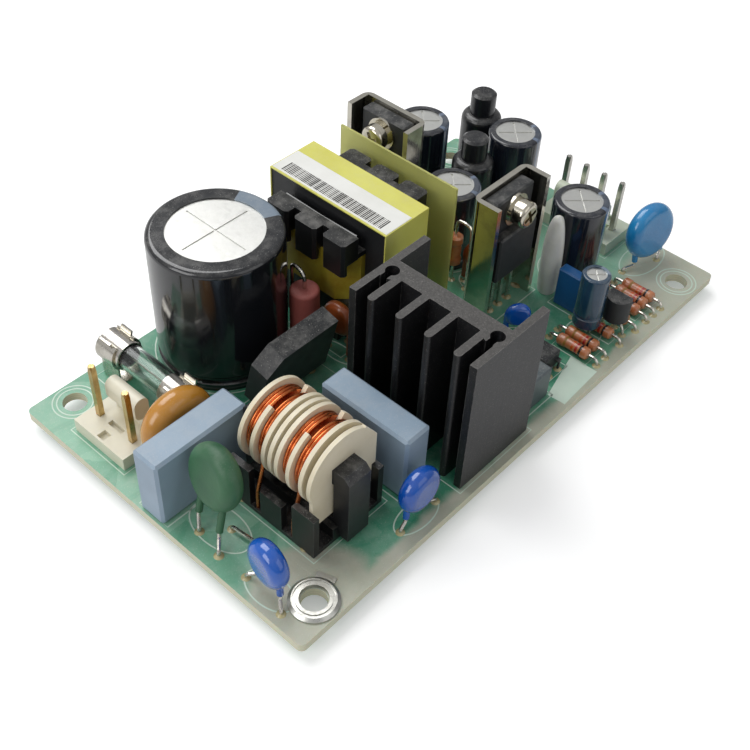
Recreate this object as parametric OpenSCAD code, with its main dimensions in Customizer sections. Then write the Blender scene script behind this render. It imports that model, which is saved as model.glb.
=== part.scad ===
// Open frame switching power supply: a bare circuit board with its mains input at the -X end and
// its output header at the +X end. Millimetres, +Z up, origin under the middle of the board at the
// plane of the clipped lead ends, on which the board stands.

/* [Circuit board] */
// Length of the board
board_l = 108; // [106:0.5:130]
// Width of the board
board_w = 62; // [62:0.5:80]
// Thickness of the board
board_t = 1.6; // [1:0.1:2.4]
// Corner radius of the board
board_corner = 1; // [0.5:0.1:3]
// Length of the clipped leads below the board
lead_stand = 2; // [1.6:0.1:3]
// Radius of the four mounting holes
mount_r = 2; // [1.5:0.05:2.2]
// Distance of the mounting holes from the short edges
mount_inset_x = 6.5; // [6:0.1:8]
// Distance of the mounting holes from the long edges
mount_inset_y = 4; // [4:0.1:6]
// Play of a lead in its drilled hole, on the radius
hole_play = 0.15; // [0.05:0.01:0.3]
// Radius by which solder spreads round a lead on the board
solder_spread = 0.75; // [0.4:0.05:0.9]
// Height at which the solder tapers out on a lead
solder_rise = 1.5; // [0.8:0.1:1.9]

/* [Ground ring] */
// Outer radius of the stamped ground ring
ring_r = 3.8; // [3.2:0.1:3.9]
// Thickness of the ground ring's sheet
ring_t = 0.7; // [0.4:0.05:1.2]
// Width of the ground ring's solder tab
ring_tab_w = 3; // [2:0.1:4]
// Reach of the solder tab from the middle of the hole
ring_tab_l = 4.6; // [4.2:0.1:5]

/* [Headers] */
// Distance of the input pins from the board's end
ac_inset = 6.6; // [5:0.1:8]
// Distance of the output pins from the board's end
dc_inset = 5.1; // [5:0.1:8]
// Pitch of the header positions
pin_pitch = 3.96; // [3.5:0.02:4.2]
// Width of a square header pin
pin_w = 0.96; // [0.8:0.02:1.4]
// Height of the pins above the board
pin_h = 13.2; // [10:0.1:16]
// Length of a pin's tapered tip
pin_tip = 1.1; // [0.5:0.1:2]
// Y place of the middle of the input header
ac_y = 16.1; // [15:0.1:17]
// Y place of the middle of the output header
dc_y = -5.28; // [-6:0.02:-4]
// Height of the header base
header_h = 2.5; // [2:0.1:4]
// Depth of the header base on the outer side of its pins
header_front = 3.6; // [2.5:0.1:4]
// Depth of the header base on the lock side of its pins
header_back = 4.8; // [4.2:0.1:5]
// Height of the friction lock wall
lock_h = 9.3; // [7:0.1:11]
// Distance of the lock wall's ends from the ends of its base
lock_margin = 2.4; // [1:0.1:3]
// Thickness of the friction lock wall
lock_t = 1.2; // [0.8:0.1:1.5]
// Radius of the ridge along the top of the lock wall
lock_ridge_r = 1.35; // [1:0.05:1.6]

/* [Fuse] */
// Middle of the fuse on the board
fuse_xy = [-38.1, 18.8]; // [-54:0.1:54]
// Length of the fuse
fuse_l = 20; // [18:0.1:21]
// Radius of the fuse's end caps
fuse_cap_r = 2.6; // [2.3:0.05:2.8]
// Radius of the fuse's glass
fuse_glass_r = 2.3; // [2:0.05:2.5]
// Wall of the fuse's glass
fuse_wall = 0.5; // [0.3:0.05:0.8]
// Length of a fuse cap
fuse_cap_l = 5.2; // [4:0.1:6]
// Height of the fuse's axis above the board
fuse_axis_h = 6; // [5.2:0.1:7.5]
// Distance between the two clips
clip_pitch = 15.5; // [14:0.1:16]
// Width of a clip along the fuse
clip_w = 4.2; // [3:0.1:4.6]
// Thickness of the clip's spring sheet
clip_t = 0.35; // [0.2:0.05:0.5]

/* [Input filter] */
// Body of an X capacitor: length, thickness and height
xcap_size = [17.5, 5.2, 13]; // [4:0.1:20]
// Middle of the X capacitor across the input
xcap1_xy = [-44.9, 0.55]; // [-54:0.1:54]
// Middle of the X capacitor after the choke
xcap2_xy = [-23, -15.5]; // [-54:0.1:54]
// Lead pitch of an X capacitor
xcap_pitch = 15; // [10:0.1:15.5]
// Radius of the surge varistor
varistor_r = 6.3; // [5:0.1:6.6]
// Thickness of the surge varistor
varistor_t = 4.2; // [3:0.1:4.4]
// Middle of the surge varistor: x, y and height above the board
varistor_at = [-43, 6.2, 7.9]; // [-54:0.1:54]
// Radius of the inrush thermistor
thermistor_r = 5.2; // [4:0.1:5.4]
// Thickness of the inrush thermistor
thermistor_t = 3.6; // [3:0.1:4]
// Middle of the inrush thermistor: x, y and height above the board
thermistor_at = [-48, -8.2, 11.8]; // [-54:0.1:54]
// Radius of a blue Y capacitor
ycap_r = 3.9; // [3:0.1:4.2]
// Thickness of a blue Y capacitor
ycap_t = 3.2; // [2.4:0.1:3.4]
// Middle of the first Y capacitor: x, y and height above the board
ycap1_at = [-50.6, -21.3, 6.6]; // [-54:0.1:54]
// Middle of the second Y capacitor: x, y and height above the board
ycap2_at = [-26.3, -27.6, 6.4]; // [-54:0.1:54]

/* [Common mode choke] */
// Middle of the choke on the board
choke_xy = [-35.2, -13.2]; // [-54:0.1:54]
// Height of the bobbin's axis above the board
choke_axis_h = 13; // [12.6:0.1:14]
// Radius of the bobbin's flanges
flange_r = 6.7; // [6:0.1:6.8]
// Thickness of a flange
flange_t = 0.7; // [0.6:0.05:1]
// Outer length of the ferrite loop
core_l = 21.4; // [20.8:0.1:23]
// Width of the ferrite loop's limbs
core_w = 4.4; // [3.6:0.1:4.8]
// Thickness of the ferrite loop's limbs
core_t = 3; // [2.4:0.1:3.1]
// Radius of the copper windings
winding_r = 5.8; // [4.4:0.1:5.9]
// Diameter of the winding wire
winding_wire = 0.5; // [0.4:0.05:0.8]
// Height of the base's terminal feet
choke_foot_h = 8.4; // [7:0.1:8.8]
// Length of a terminal foot along the choke
choke_foot_l = 4.4; // [3:0.1:4.8]

/* [Rectifier and bulk capacitor] */
// Body of the bridge rectifier: length, thickness and height
bridge_size = [15, 3.6, 11.6]; // [3:0.1:18]
// Middle of the bridge rectifier's lower edge
bridge_xy = [-21.6, 5]; // [-54:0.1:54]
// Forward lean of the bridge rectifier, in degrees
bridge_lean = 14; // [0:1:20]
// Corner cut that marks the bridge rectifier's positive end
bridge_cut = 3; // [1:0.1:4]
// Middle of the bulk capacitor
bulk_xy = [-21.7, 19.8]; // [-54:0.1:54]
// Radius of the bulk capacitor over its sleeve
bulk_r = 11; // [10:0.1:11.1]
// Height of the bulk capacitor
bulk_h = 25; // [20:0.5:30]
// Radius of the bare aluminium on top of the bulk capacitor
bulk_bare_r = 7.9; // [6:0.1:9]
// Thickness of the shrink sleeves on the capacitors
sleeve_t = 0.25; // [0.15:0.05:0.4]

/* [Transformer] */
// Middle of the transformer on the board
trafo_xy = [0.75, 12.7]; // [-54:0.1:54]
// Ferrite core: thickness along x, length along y
trafo_core = [9.9, 25.4]; // [8:0.1:26]
// Height of the transformer above the board
trafo_h = 25; // [23:0.1:27]
// Height of the ferrite core
trafo_core_h = 21.2; // [19:0.1:21.6]
// Thickness of the core's back bars
trafo_back = 4.9; // [4:0.1:5.4]
// Thickness of the core's outer legs along y
trafo_leg = 4; // [3:0.1:5]
// Reach of the winding from the middle, along x
trafo_bulge = 8.7; // [7:0.1:9]
// Thickness of the wrapped tape
tape_t = 0.2; // [0.1:0.05:0.35]
// Width of the bobbin's castellated lugs
lug_w = 4.8; // [3:0.1:5.2]
// Pitch of the lugs
lug_pitch = 6.3; // [5.6:0.1:7]
// Height of the lugs
lug_h = 3.4; // [2:0.1:4]
// Reach of the lugs from the middle, along x
lug_reach = 10.3; // [9.8:0.1:10.8]
// Width of the paper label across the transformer's top
label_w = 6; // [3:0.1:9]
// Thickness of the insulation sheet beside the transformer
sheet_t = 0.4; // [0.2:0.05:0.6]
// X place of the insulation sheet
sheet_x = 12.9; // [12.3:0.1:14]
// Height of the insulation sheet
sheet_h = 25; // [20:0.5:26]
// Width of the insulation sheet
sheet_w = 26; // [20:0.5:30]

/* [Heatsink and brackets] */
// Height of the main heatsink
sink_h = 26.3; // [22:0.1:28]
// Place of the heatsink's fin tips and of its near face
sink_xy = [-17.9, -29.1]; // [-54:0.1:54]
// Length of the heatsink along y
sink_l = 24; // [23:0.1:24.4]
// Depth of the heatsink along x
sink_d = 16.8; // [15:0.1:17.2]
// Thickness of the heatsink's plates
sink_plate_t = 1.3; // [1:0.1:1.6]
// Thickness of the heatsink's base
sink_base_t = 3.2; // [2.4:0.1:3.6]
// Distance from the fin tips to the heatsink's base
sink_fin_l = 6.4; // [5:0.1:7]
// Pitch of the heatsink's fins
sink_fin_pitch = 5.4; // [4.8:0.1:5.5]
// Radius of the heatsink's screw keyholes
keyhole_r = 1.15; // [1:0.05:1.5]
// Height of the two bent brackets
bracket_h = 25.3; // [25:0.1:28]
// Width of a bracket across its back
bracket_w = 14.2; // [13.6:0.1:14.4]
// Depth of a bracket's side flanges
bracket_d = 5.4; // [4:0.1:5.6]
// Sheet thickness of the brackets
bracket_t = 1; // [0.8:0.1:1.2]
// Outer bend radius of the brackets
bracket_bend = 1.6; // [1.3:0.1:2]
// Back face and middle of the rear bracket
rear_xy = [23.8, 22.4]; // [-54:0.1:54]
// Middle and back face of the front bracket
front_xy = [19.5, -3.7]; // [-54:0.1:54]
// Package of the power semiconductors: width, thickness and height
package = [10, 4.5, 15.8]; // [2:0.1:18]
// Thickness of the package's tab
package_tab_t = 2.8; // [2:0.1:3.2]
// Height of the package's tab above its thick part
package_tab_h = 6.6; // [5:0.1:7.4]
// Height of the packages' upper ends above the board
package_top = 24.6; // [22:0.1:25]
// Shank radius of the mounting screws
screw_r = 1.45; // [1.2:0.05:1.5]
// Head radius of the mounting screws
screw_head_r = 2.4; // [2.1:0.05:3]
// Head height of the mounting screws
screw_head_h = 2; // [1.5:0.1:2.4]
// Thickness of a spring washer
spring_washer_t = 0.8; // [0.5:0.05:1]
// Thickness of a flat washer
flat_washer_t = 0.5; // [0.3:0.05:0.8]

/* [Output side] */
// Radius of an output capacitor over its sleeve
out_cap_r = 5; // [4:0.05:5.05]
// Height of an output capacitor
out_cap_h = 16; // [14:0.5:20]
// Radius of the bare aluminium on top of an output capacitor
out_cap_bare_r = 3.7; // [3:0.1:4]
// Middles of the four output capacitors, rear to front
out_cap_xys = [[34.9, 25.2], [23.6, 8.4], [44.4, 10.5], [36.2, -10.6]];
// Middle of the small supply capacitor
small_cap_xy = [24.3, -22.5]; // [-54:0.1:54]
// Radius of the small supply capacitor
small_cap_r = 2.5; // [2:0.05:2.55]
// Height of the small supply capacitor
small_cap_h = 10.8; // [9:0.1:13]
// Radius of the bare aluminium on the small supply capacitor
small_cap_bare_r = 1.75; // [1.2:0.05:2]
// Middles of the two rod inductors
inductor_xys = [[47.6, 20.8], [34.8, 12.6]];
// Radius of a rod inductor in its shrink tube
inductor_r = 3.9; // [3:0.05:4]
// Height of a rod inductor's shoulder
inductor_h = 12.6; // [10:0.1:14]
// Radius of the shrink tube's neck
inductor_neck_r = 2.45; // [2:0.05:2.8]
// Height of the shrink tube's closed end
inductor_top = 18.4; // [16:0.1:20]
// Radius of the output Y capacitor
out_ycap_r = 5.4; // [4:0.1:5.6]
// Middle of the output Y capacitor: x, y and height above the board
out_ycap_at = [48.4, -18.9, 6.9]; // [-54:0.1:54]

/* [Small parts] */
// Radius of an axial resistor's body
resistor_r = 1.1; // [0.8:0.05:1.15]
// Length of an axial resistor's body
resistor_l = 6.3; // [5:0.1:6.6]
// Hole spacing of an axial resistor
resistor_span = 10; // [9.4:0.1:11]
// Radius of the resistors' leads
wire_r = 0.28; // [0.2:0.02:0.32]
// Bend radius of the resistors' leads
wire_bend = 0.9; // [0.6:0.1:1.1]
// X places of the row of axial resistors
resistor_xs = [19, 21.6, 26, 30.9, 34.3, 36.7, 39.1];
// Y place of the resistor row's middle
resistor_y = -23.9; // [-25.4:0.1:-23]
// Middle of the upright resistor beside the insulation sheet
upright_xy = [18.6, 3]; // [-54:0.1:54]
// Radius of the snubber resistor
snubber_r = 2.5; // [2:0.05:2.6]
// Length of the snubber resistor's body
snubber_l = 12; // [8:0.1:12.4]
// Middle of the snubber resistor
snubber_xy = [-13, 9.1]; // [-54:0.1:54]
// Middle of the snubber capacitor: x, y and height above the board
snubber_cap_at = [-9.5, 4.6, 8]; // [-54:0.1:54]
// Radius of the snubber capacitor
snubber_cap_r = 3.2; // [2.4:0.1:3.3]
// Middle of the output snubber's capacitor: x, y and height above the board
out_snubber_at = [21.4, -0.5, 6.2]; // [-54:0.1:54]
// Radius of the output snubber's capacitor
out_snubber_r = 2.9; // [2.4:0.1:3]
// Middle of the small ceramic capacitor: x, y and height above the board
ceramic_at = [14.5, -14.6, 5.5]; // [-54:0.1:54]
// Radius of the small ceramic capacitor
ceramic_r = 2.3; // [2:0.1:3]
// Body of the film capacitor: length along x, width and height
film_size = [2.2, 4.9, 8]; // [2:0.1:9]
// Middle of the film capacitor
film_xy = [27.8, -16.4]; // [-54:0.1:54]
// Body of the box capacitor: length along x, width and height
box_cap_size = [7.6, 4.5, 6.5]; // [3:0.1:9]
// Middle of the box capacitor
box_cap_xy = [3.8, -24.7]; // [-54:0.1:54]
// Body of the optocoupler: length along x, width and height
opto_size = [4.6, 6.4, 3.2]; // [2:0.1:7]
// Middle of the optocoupler
opto_xy = [12.4, -20.8]; // [-54:0.1:54]
// Middle of the voltage reference
reference_xy = [28.6, -25.6]; // [-54:0.1:54]
// Radius of the voltage reference's round back
reference_r = 2.25; // [2:0.05:2.3]
// Height of the voltage reference's body
reference_h = 4.7; // [4:0.1:5]
// Height at which the voltage reference stands over the resistor row
reference_z = 3; // [2.8:0.1:4]
// Ends of the jumper wire
jumper_ends = [[-47.1, -9.7], [-46.6, -14.5]];
// Radius of the larger parts' leads
lead_r = 0.35; // [0.3:0.01:0.4]

/* [Hidden] */
$fn = 48;

// Clearance between pieces that fit together, and the overshoot of a cut
fit = 0.1;
cut = 1;
// Heights of the board's two faces
board_z = lead_stand;
top_z = lead_stand + board_t;
// Clearance of a sliding or clamped fit
snug = 0.03;
// Sides of a bent wire, and the rings of one bend
wire_sides = 8;
bend_steps = 3;
// Bend radius of a lead that loops down beside an upright part
loop_bend = 1.4;

// Two lead holes [x, y, lead radius] round a middle, on a line turned from x
function two(xy, pitch, r, turn = 0) =
    [for (s = [-0.5, 0.5]) [xy[0] + s * pitch * cos(turn), xy[1] + s * pitch * sin(turn), r]];

// A row of n lead holes with the given pitch, along x, or along y when turned by 90
function row(xy, pitch, n, r, turn = 0) = [for (i = [0:n - 1]) let (s = i - (n - 1) / 2)
    [xy[0] + s * pitch * cos(turn), xy[1] + s * pitch * sin(turn), r]];

// Headers
ac_xy = [ac_inset - board_l / 2, ac_y];
dc_xy = [board_l / 2 - dc_inset, dc_y];
pin_round_r = pin_w * sqrt(2) / 2;
ac_holes = two(ac_xy, 2 * pin_pitch, pin_round_r, 90);
dc_holes = row(dc_xy, pin_pitch, 4, pin_round_r, 90);

// Fuse clips: one leg at each end of a clip's width
clip_leg_r = 0.45;
clip_leg_pitch = 2.6;
clip_ys = [for (s = [-0.5, 0.5]) fuse_xy[1] + s * clip_pitch];
clip_holes = [for (y = clip_ys) each two([fuse_xy[0], y], clip_leg_pitch, clip_leg_r, 90)];

// Input filter
coat_r = 0.55;
coat_h = 1.2;
varistor_turn = -3;
varistor_pitch = 7.5;
varistor_holes = two(varistor_at, varistor_pitch, lead_r, varistor_turn);
xcap1_holes = two(xcap1_xy, xcap_pitch, lead_r);
xcap2_holes = two(xcap2_xy, xcap_pitch, lead_r, 90);
thermistor_turn = 84;
thermistor_lean = 13;
thermistor_pitch = 5;
thermistor_drop = 8.6;
thermistor_holes = [[-50.7, -6.6, lead_r], [-51.6, -11.8, lead_r]];
ycap_wire_r = 0.3;
ycap_pitch = 5;
ycap_drop = 4.4;
ycap1_turn = 82;
ycap1_holes = [[-52.2, -25.2, ycap_wire_r], [-51.4, -17.3, ycap_wire_r]];
ycap2_holes = two([ycap2_at[0], ycap2_at[1] - 0.3], 8, ycap_wire_r);

// Common mode choke: base half width, three feet on each side, a pin under each outer foot
choke_base_x = 7.3;
choke_base_t = 0.8;
choke_foot_t = 1.1;
choke_pin_y = 6.6;
choke_pin_r = 0.4;
choke_holes = [for (x = [-1, 1], y = [-1, 1])
    [choke_xy[0] + x * (choke_base_x - choke_foot_t / 2), choke_xy[1] + y * choke_pin_y, choke_pin_r]];
bobbin_y = choke_xy[1] + 0.6;
tube_r = 3.5;
end_flange_y = 7.7;
core_bottom = choke_base_t + snug;
core_top = choke_axis_h + core_t / 2;
// Offsets of the round flanges from the bobbin's middle; the windings fill the outer pairs
flange_ys = [-6.1, -3.6, -1.3, 0, 1.3, 3.6, 6.1];
// The two flanges with a gap for the crossing wire, and the angles between which the gap lies
gapped_ys = [-3.6, 3.6];
gap_angles = [48, 113];
// The end flange: half width between the feet and over them, depth below the axis, corner cut
end_flange_w = choke_base_x - choke_foot_t - fit;
end_flange_wide = 6.9;
end_flange_drop = 8.2;
end_flange_cut = [2.4, 3.4];
winding_spans = [[-6.1, -1.3], [1.3, 6.1]];

// Bridge rectifier: four legs along its lower edge
bridge_pitch = 3.81;
bridge_leg_r = 0.5;
bridge_z = 2.4;
bridge_holes = row(bridge_xy, bridge_pitch, 4, bridge_leg_r);

// Bulk capacitor
bulk_round = 1;
bulk_holes = two(bulk_xy, 10, lead_r);
can_play = 0.02;

// Snubber
snubber_z = 2;
snubber_loop = [0.6, 3.5];
snubber_rise = 3;
snubber_holes = [[snubber_xy[0], snubber_xy[1], lead_r],
    [snubber_xy[0] + snubber_loop[0], snubber_xy[1] + snubber_loop[1], lead_r]];
snubber_cap_t = 2.2;
out_snubber_turn = -51;
out_snubber_pitch = 4.4;
out_snubber_holes = two(out_snubber_at, out_snubber_pitch, ycap_wire_r, out_snubber_turn);
snubber_cap_pitch = 5;
snubber_cap_holes = two(snubber_cap_at, snubber_cap_pitch, ycap_wire_r, 90);

// Transformer: core half sizes, window and bobbin
core_z = trafo_h - tape_t - trafo_core_h;
window_y = trafo_core[1] / 2 - trafo_leg;
leg_half = 3.4;
bobbin_tube = 1;
bobbin_flange_t = 0.9;
window_z0 = core_z + trafo_back;
window_z1 = trafo_h - tape_t - trafo_back;
bobbin_x = trafo_bulge - 0.4;
rail_z = 2.2;
rail_pin_x = 7;
trafo_pin_r = 0.4;
trafo_pin_pitch = 5;
trafo_holes = [for (s = [-1, 1])
    each row([trafo_xy[0] + s * rail_pin_x, trafo_xy[1]], trafo_pin_pitch, 4, trafo_pin_r, 90)];
// Depth by which the lugs hang down outside the winding
lug_drop = 2;
// Width of the trench between the core and the lugs, and the sleeved wires that lie in it
trench_w = 1.5;
sleeved_r = 0.45;

// Heatsink, brackets and their packages
sink_base_x = sink_xy[0] + sink_fin_l;
sink_face = sink_base_x + sink_base_t;
sink_mid_y = sink_xy[1] + sink_l / 2;
sink_pin_r = 0.8;
sink_holes = two([sink_base_x + sink_base_t / 2, sink_mid_y], sink_l - 8, sink_pin_r, 90);
leg_pitch = 2.54;
leg_size = [0.8, 0.5];
leg_round_r = norm(leg_size) / 2;
leg_setback = 2.4;
hole_drop = 3.1;
// Seats of the packages: x, y, turn about z, upper end and depth of the screw in the wall
mosfet_top = 19.6;
seats = [[sink_face, sink_mid_y, 90, mosfet_top, sink_base_t - 0.6],
    [rear_xy[0] - bracket_t, rear_xy[1], -90, package_top, bracket_t + 1],
    [front_xy[0], front_xy[1] - bracket_t, 0, package_top, bracket_t + 1]];
seat_holes = [for (s = seats) each row([s[0] + leg_setback * sin(s[2]), s[1] - leg_setback * cos(s[2])],
    leg_pitch, 3, leg_round_r, s[2])];
bracket_tab = [1.6, 0.9];
bracket_tab_r = norm(bracket_tab) / 2;
rear_holes = two([rear_xy[0] - bracket_d / 2, rear_xy[1]], bracket_w - bracket_t, bracket_tab_r, 90);
front_holes = two([front_xy[0], front_xy[1] - bracket_d / 2], bracket_w - bracket_t, bracket_tab_r);

// Output side
out_cap_turns = [90, 0, 90, 0];
out_cap_holes = [for (i = [0:3]) each two(out_cap_xys[i], 5, lead_r, out_cap_turns[i])];
small_cap_z = 2.7;
small_cap_holes = two([small_cap_xy[0] - 0.5, small_cap_xy[1]], 2.5, wire_r, 90);
inductor_holes = [for (p = inductor_xys) each two(p, 4.5, lead_r, 45)];
out_ycap_turn = -12;
out_ycap_lean = -8;
out_ycap_t = 3.4;
out_ycap_pitch = 6.4;
out_ycap_drop = 5.4;
out_ycap_holes = [[42.6, -18.3, ycap_wire_r], [50.2, -20.9, ycap_wire_r]];

// Small parts
resistor_z = resistor_r + 0.15;
resistor_holes = [for (x = resistor_xs) each two([x, resistor_y], resistor_span, wire_r, 90)];
upright_r = 1.4;
upright_z = 4;
upright_loop = [-0.2, -3.5];
upright_rise = 3.6;
upright_holes = [[upright_xy[0], upright_xy[1], wire_r],
    [upright_xy[0] + upright_loop[0], upright_xy[1] + upright_loop[1], wire_r]];
film_holes = two(film_xy, 2.8, wire_r, 90);
box_cap_holes = two(box_cap_xy, 5, wire_r);
opto_pitch = 2.54;
opto_span = 7.6;
opto_holes = [for (s = [-0.5, 0.5]) each two([opto_xy[0], opto_xy[1] + s * opto_span], opto_pitch, wire_r)];
ceramic_t = 1.9;
ceramic_turn = -40;
ceramic_pitch = 3.6;
ceramic_holes = two(ceramic_at, ceramic_pitch, wire_r, ceramic_turn);
reference_flat = 1;
reference_pitch = 1.27;
reference_holes = [for (i = [-1:1])
    [reference_xy[0] + (i == 0 ? 0.6 : -0.2), reference_xy[1] + i * 2.2, wire_r]];
jumper_holes = [for (p = jumper_ends) [p[0], p[1], wire_r]];
silicone_r = 2.1;
silicone_tip_r = 0.9;
silicone_h = 17;

// Every lead hole of the board
HOLES = concat(ac_holes, dc_holes, clip_holes, varistor_holes, xcap1_holes, xcap2_holes, thermistor_holes,
    ycap1_holes, ycap2_holes, choke_holes, bridge_holes, bulk_holes, snubber_holes, snubber_cap_holes,
    trafo_holes, sink_holes, seat_holes, rear_holes, front_holes, out_cap_holes, small_cap_holes,
    inductor_holes, out_ycap_holes, resistor_holes, upright_holes, out_snubber_holes, film_holes,
    box_cap_holes, opto_holes, ceramic_holes, reference_holes, jumper_holes);

// Shared shapes

// Children moved to a place on the board and a height above it
module on_board(xy, h = 0) translate([xy[0], xy[1], top_z + h]) children();

// A block centred in x and y that stands on z = 0
module block(size) translate([-size[0] / 2, -size[1] / 2, 0]) cube(size);

// A rectangle with cut corners, centred
module cut_rect(size, c) polygon([for (s = [[1, 1], [-1, 1], [-1, -1], [1, -1]])
    let (x = s[0] * size[0] / 2, y = s[1] * size[1] / 2, first = s[0] * s[1] > 0)
    each [[first ? x : x - s[0] * c, first ? y - s[1] * c : y],
        [first ? x - s[0] * c : x, first ? y : y - s[1] * c]]]);

// A block with all its edges bevelled, which stands on z = 0
module bevelled(size, c) translate([0, 0, size[2] / 2]) intersection() {
    linear_extrude(size[2], center = true) cut_rect([size[0], size[1]], c);
    rotate([90, 0, 0]) linear_extrude(size[1], center = true) cut_rect([size[0], size[2]], c);
    rotate([90, 0, 90]) linear_extrude(size[0], center = true) cut_rect([size[1], size[2]], c);
}

// A rectangle with round corners, centred
module round_rect(size, r) {
    square([size[0] - 2 * r, size[1]], center = true);
    square([size[0], size[1] - 2 * r], center = true);
    for (x = [-1, 1], y = [-1, 1]) translate([x * (size[0] / 2 - r), y * (size[1] / 2 - r)]) circle(r);
}

// A disc with a round rim, in the plane of x and z, about its own middle
module pill(r, t) rotate([90, 0, 0]) rotate_extrude() {
    translate([0, -t / 2]) square([r - t / 2, t]);
    intersection() {
        translate([r - t / 2, 0]) circle(t / 2);
        translate([0, -t]) square([r + t, 2 * t]);
    }
}

// A dipped disc part: the disc and the coating that runs down two leads to a flat end
module dipped(r, t, pitch, drop) {
    pill(r, t);
    for (s = [-0.5, 0.5]) translate([s * pitch, 0, -drop]) cylinder(r = coat_r, h = drop);
}

// The half outline of a crimped can, drawn inward by a margin
module can_outline(r, h, margin, round, crimp) {
    rr = round - margin;
    difference() {
        union() {
            translate([0, margin]) square([r - margin, h - margin - round]);
            square([r - round, h - margin]);
            translate([r - round, h - round]) circle(rr);
        }
        translate([r + crimp, 2.2]) circle(2 * crimp + margin);
    }
}

// The aluminium can of a radial capacitor, with a vent cross scored in its top
module can(r, h, bare_r, round, crimp, turn = 45) difference() {
    rotate_extrude() can_outline(r, h, sleeve_t + can_play, round, crimp);
    for (a = [0, 90]) translate([0, 0, h - sleeve_t - 0.2]) rotate(turn + a) block([1.7 * bare_r, 0.3, cut]);
}

// The shrink sleeve round such a can, open over its top and bottom
module sleeve(r, h, bare_r, round, crimp) rotate_extrude() difference() {
    can_outline(r, h, 0, round, crimp);
    can_outline(r, h, sleeve_t, round, crimp);
    square([bare_r, h + cut]);
}

function unit(v) = v / norm(v);

// Direction of a path at its point i
function heading(p, i) = i == 0 ? unit(p[1] - p[0])
    : i == len(p) - 1 ? unit(p[i] - p[i - 1])
    : unit(unit(p[i + 1] - p[i]) + unit(p[i] - p[i - 1]));

// A path whose inner corners are rounded
function bent(p, r) = [p[0],
    for (i = [1:len(p) - 2]) let (a = p[i] + r * unit(p[i - 1] - p[i]), b = p[i] + r * unit(p[i + 1] - p[i]))
        for (k = [0:bend_steps]) let (t = k / bend_steps)
            (1 - t) * (1 - t) * a + 2 * t * (1 - t) * p[i] + t * t * b,
    p[len(p) - 1]];

// A round wire along a path; side is a direction that the wire never takes
module wire(p, r, side) {
    n = wire_sides;
    last = len(p) - 1;
    points = [for (i = [0:last]) let (t = heading(p, i), u = unit(cross(t, side)), v = cross(t, u))
        for (k = [0:n - 1]) p[i] + r * (cos(360 * k / n) * u + sin(360 * k / n) * v)];
    walls = [for (i = [0:last - 1], k = [0:n - 1]) let (a = i * n + k, b = i * n + (k + 1) % n)
        [a, a + n, b + n, b]];
    polyhedron(points, concat([[for (k = [0:n - 1]) k]], walls, [[for (k = [n - 1:-1:0]) last * n + k]]));
}

// Rotations of a point about one axis
function about_x(p, a) = [p[0], p[1] * cos(a) - p[2] * sin(a), p[1] * sin(a) + p[2] * cos(a)];
function about_y(p, a) = [p[0] * cos(a) + p[2] * sin(a), p[1], p[2] * cos(a) - p[0] * sin(a)];
function about_z(p, a) = [p[0] * cos(a) - p[1] * sin(a), p[0] * sin(a) + p[1] * cos(a), p[2]];

// A point of a part that is turned about z, leaned about x and y, and stands at a place
function leaned(p, at, lean, turn) =
    [at[0], at[1], at[2] + top_z] + about_y(about_x(about_z(p, turn), lean[0]), lean[1]);

// The same placing for solids
module lean_at(at, lean, turn) translate([at[0], at[1], at[2] + top_z]) rotate([lean[0], lean[1], 0])
    rotate(turn) children();

// A lead from a leaned part's point down to its hole
module kinked_lead(p, hole, at, lean, turn, side = [0, 1, 0]) wire(bent([leaned(p, at, lean, turn),
    leaned(p - [0, 0, 0.8], at, lean, turn), [hole[0], hole[1], top_z + 0.7],
    [hole[0], hole[1], board_z]], 0.5), hole[2], side);

// Circuit board and solder

module circuit_board() color("mediumseagreen") difference() {
    translate([0, 0, board_z]) linear_extrude(board_t) round_rect([board_l, board_w], board_corner);
    for (x = [-1, 1], y = [-1, 1])
        translate([x * (board_l / 2 - mount_inset_x), y * (board_w / 2 - mount_inset_y), 0])
            cylinder(r = mount_r, h = top_z + cut);
    for (p = HOLES) translate([p[0], p[1], 0]) cylinder(r = p[2] + hole_play, h = top_z + cut, $fn = 24);
}

module solder_joints() color("silver") for (p = HOLES) translate([p[0], p[1], 0]) {
    cylinder(r = 0.8 * p[2], h = board_z, $fn = 24);
    translate([0, 0, board_z - solder_rise])
        cylinder(r1 = p[2], r2 = p[2] + solder_spread, h = solder_rise, $fn = 24);
}

// Straight leads: holes and the height above the board at which each group ends
STRAIGHT = [[varistor_holes, coat_h], [xcap1_holes, 0], [xcap2_holes, 0], [choke_holes, 0], [bulk_holes, 0],
    [[snubber_holes[0]], snubber_z], [snubber_cap_holes, coat_h], [out_snubber_holes, coat_h],
    [trafo_holes, rail_z], [sink_holes, 0], [out_cap_holes, 0], [small_cap_holes, small_cap_z],
    [inductor_holes, 0], [[upright_holes[0]], upright_z], [film_holes, 0], [box_cap_holes, 0],
    [ceramic_holes, coat_h]];

// The three legs of a package, with their wide shoulders
module package_legs(s) {
    drop = board_t + s[3] - package[2];
    for (i = [-1:1]) translate([i * leg_pitch, -leg_setback, 0]) {
        translate([0, 0, -drop]) block([leg_size[0], leg_size[1], drop]);
        translate([0, 0, -1.8]) block([1.3, leg_size[1], 1.8]);
    }
}

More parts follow.
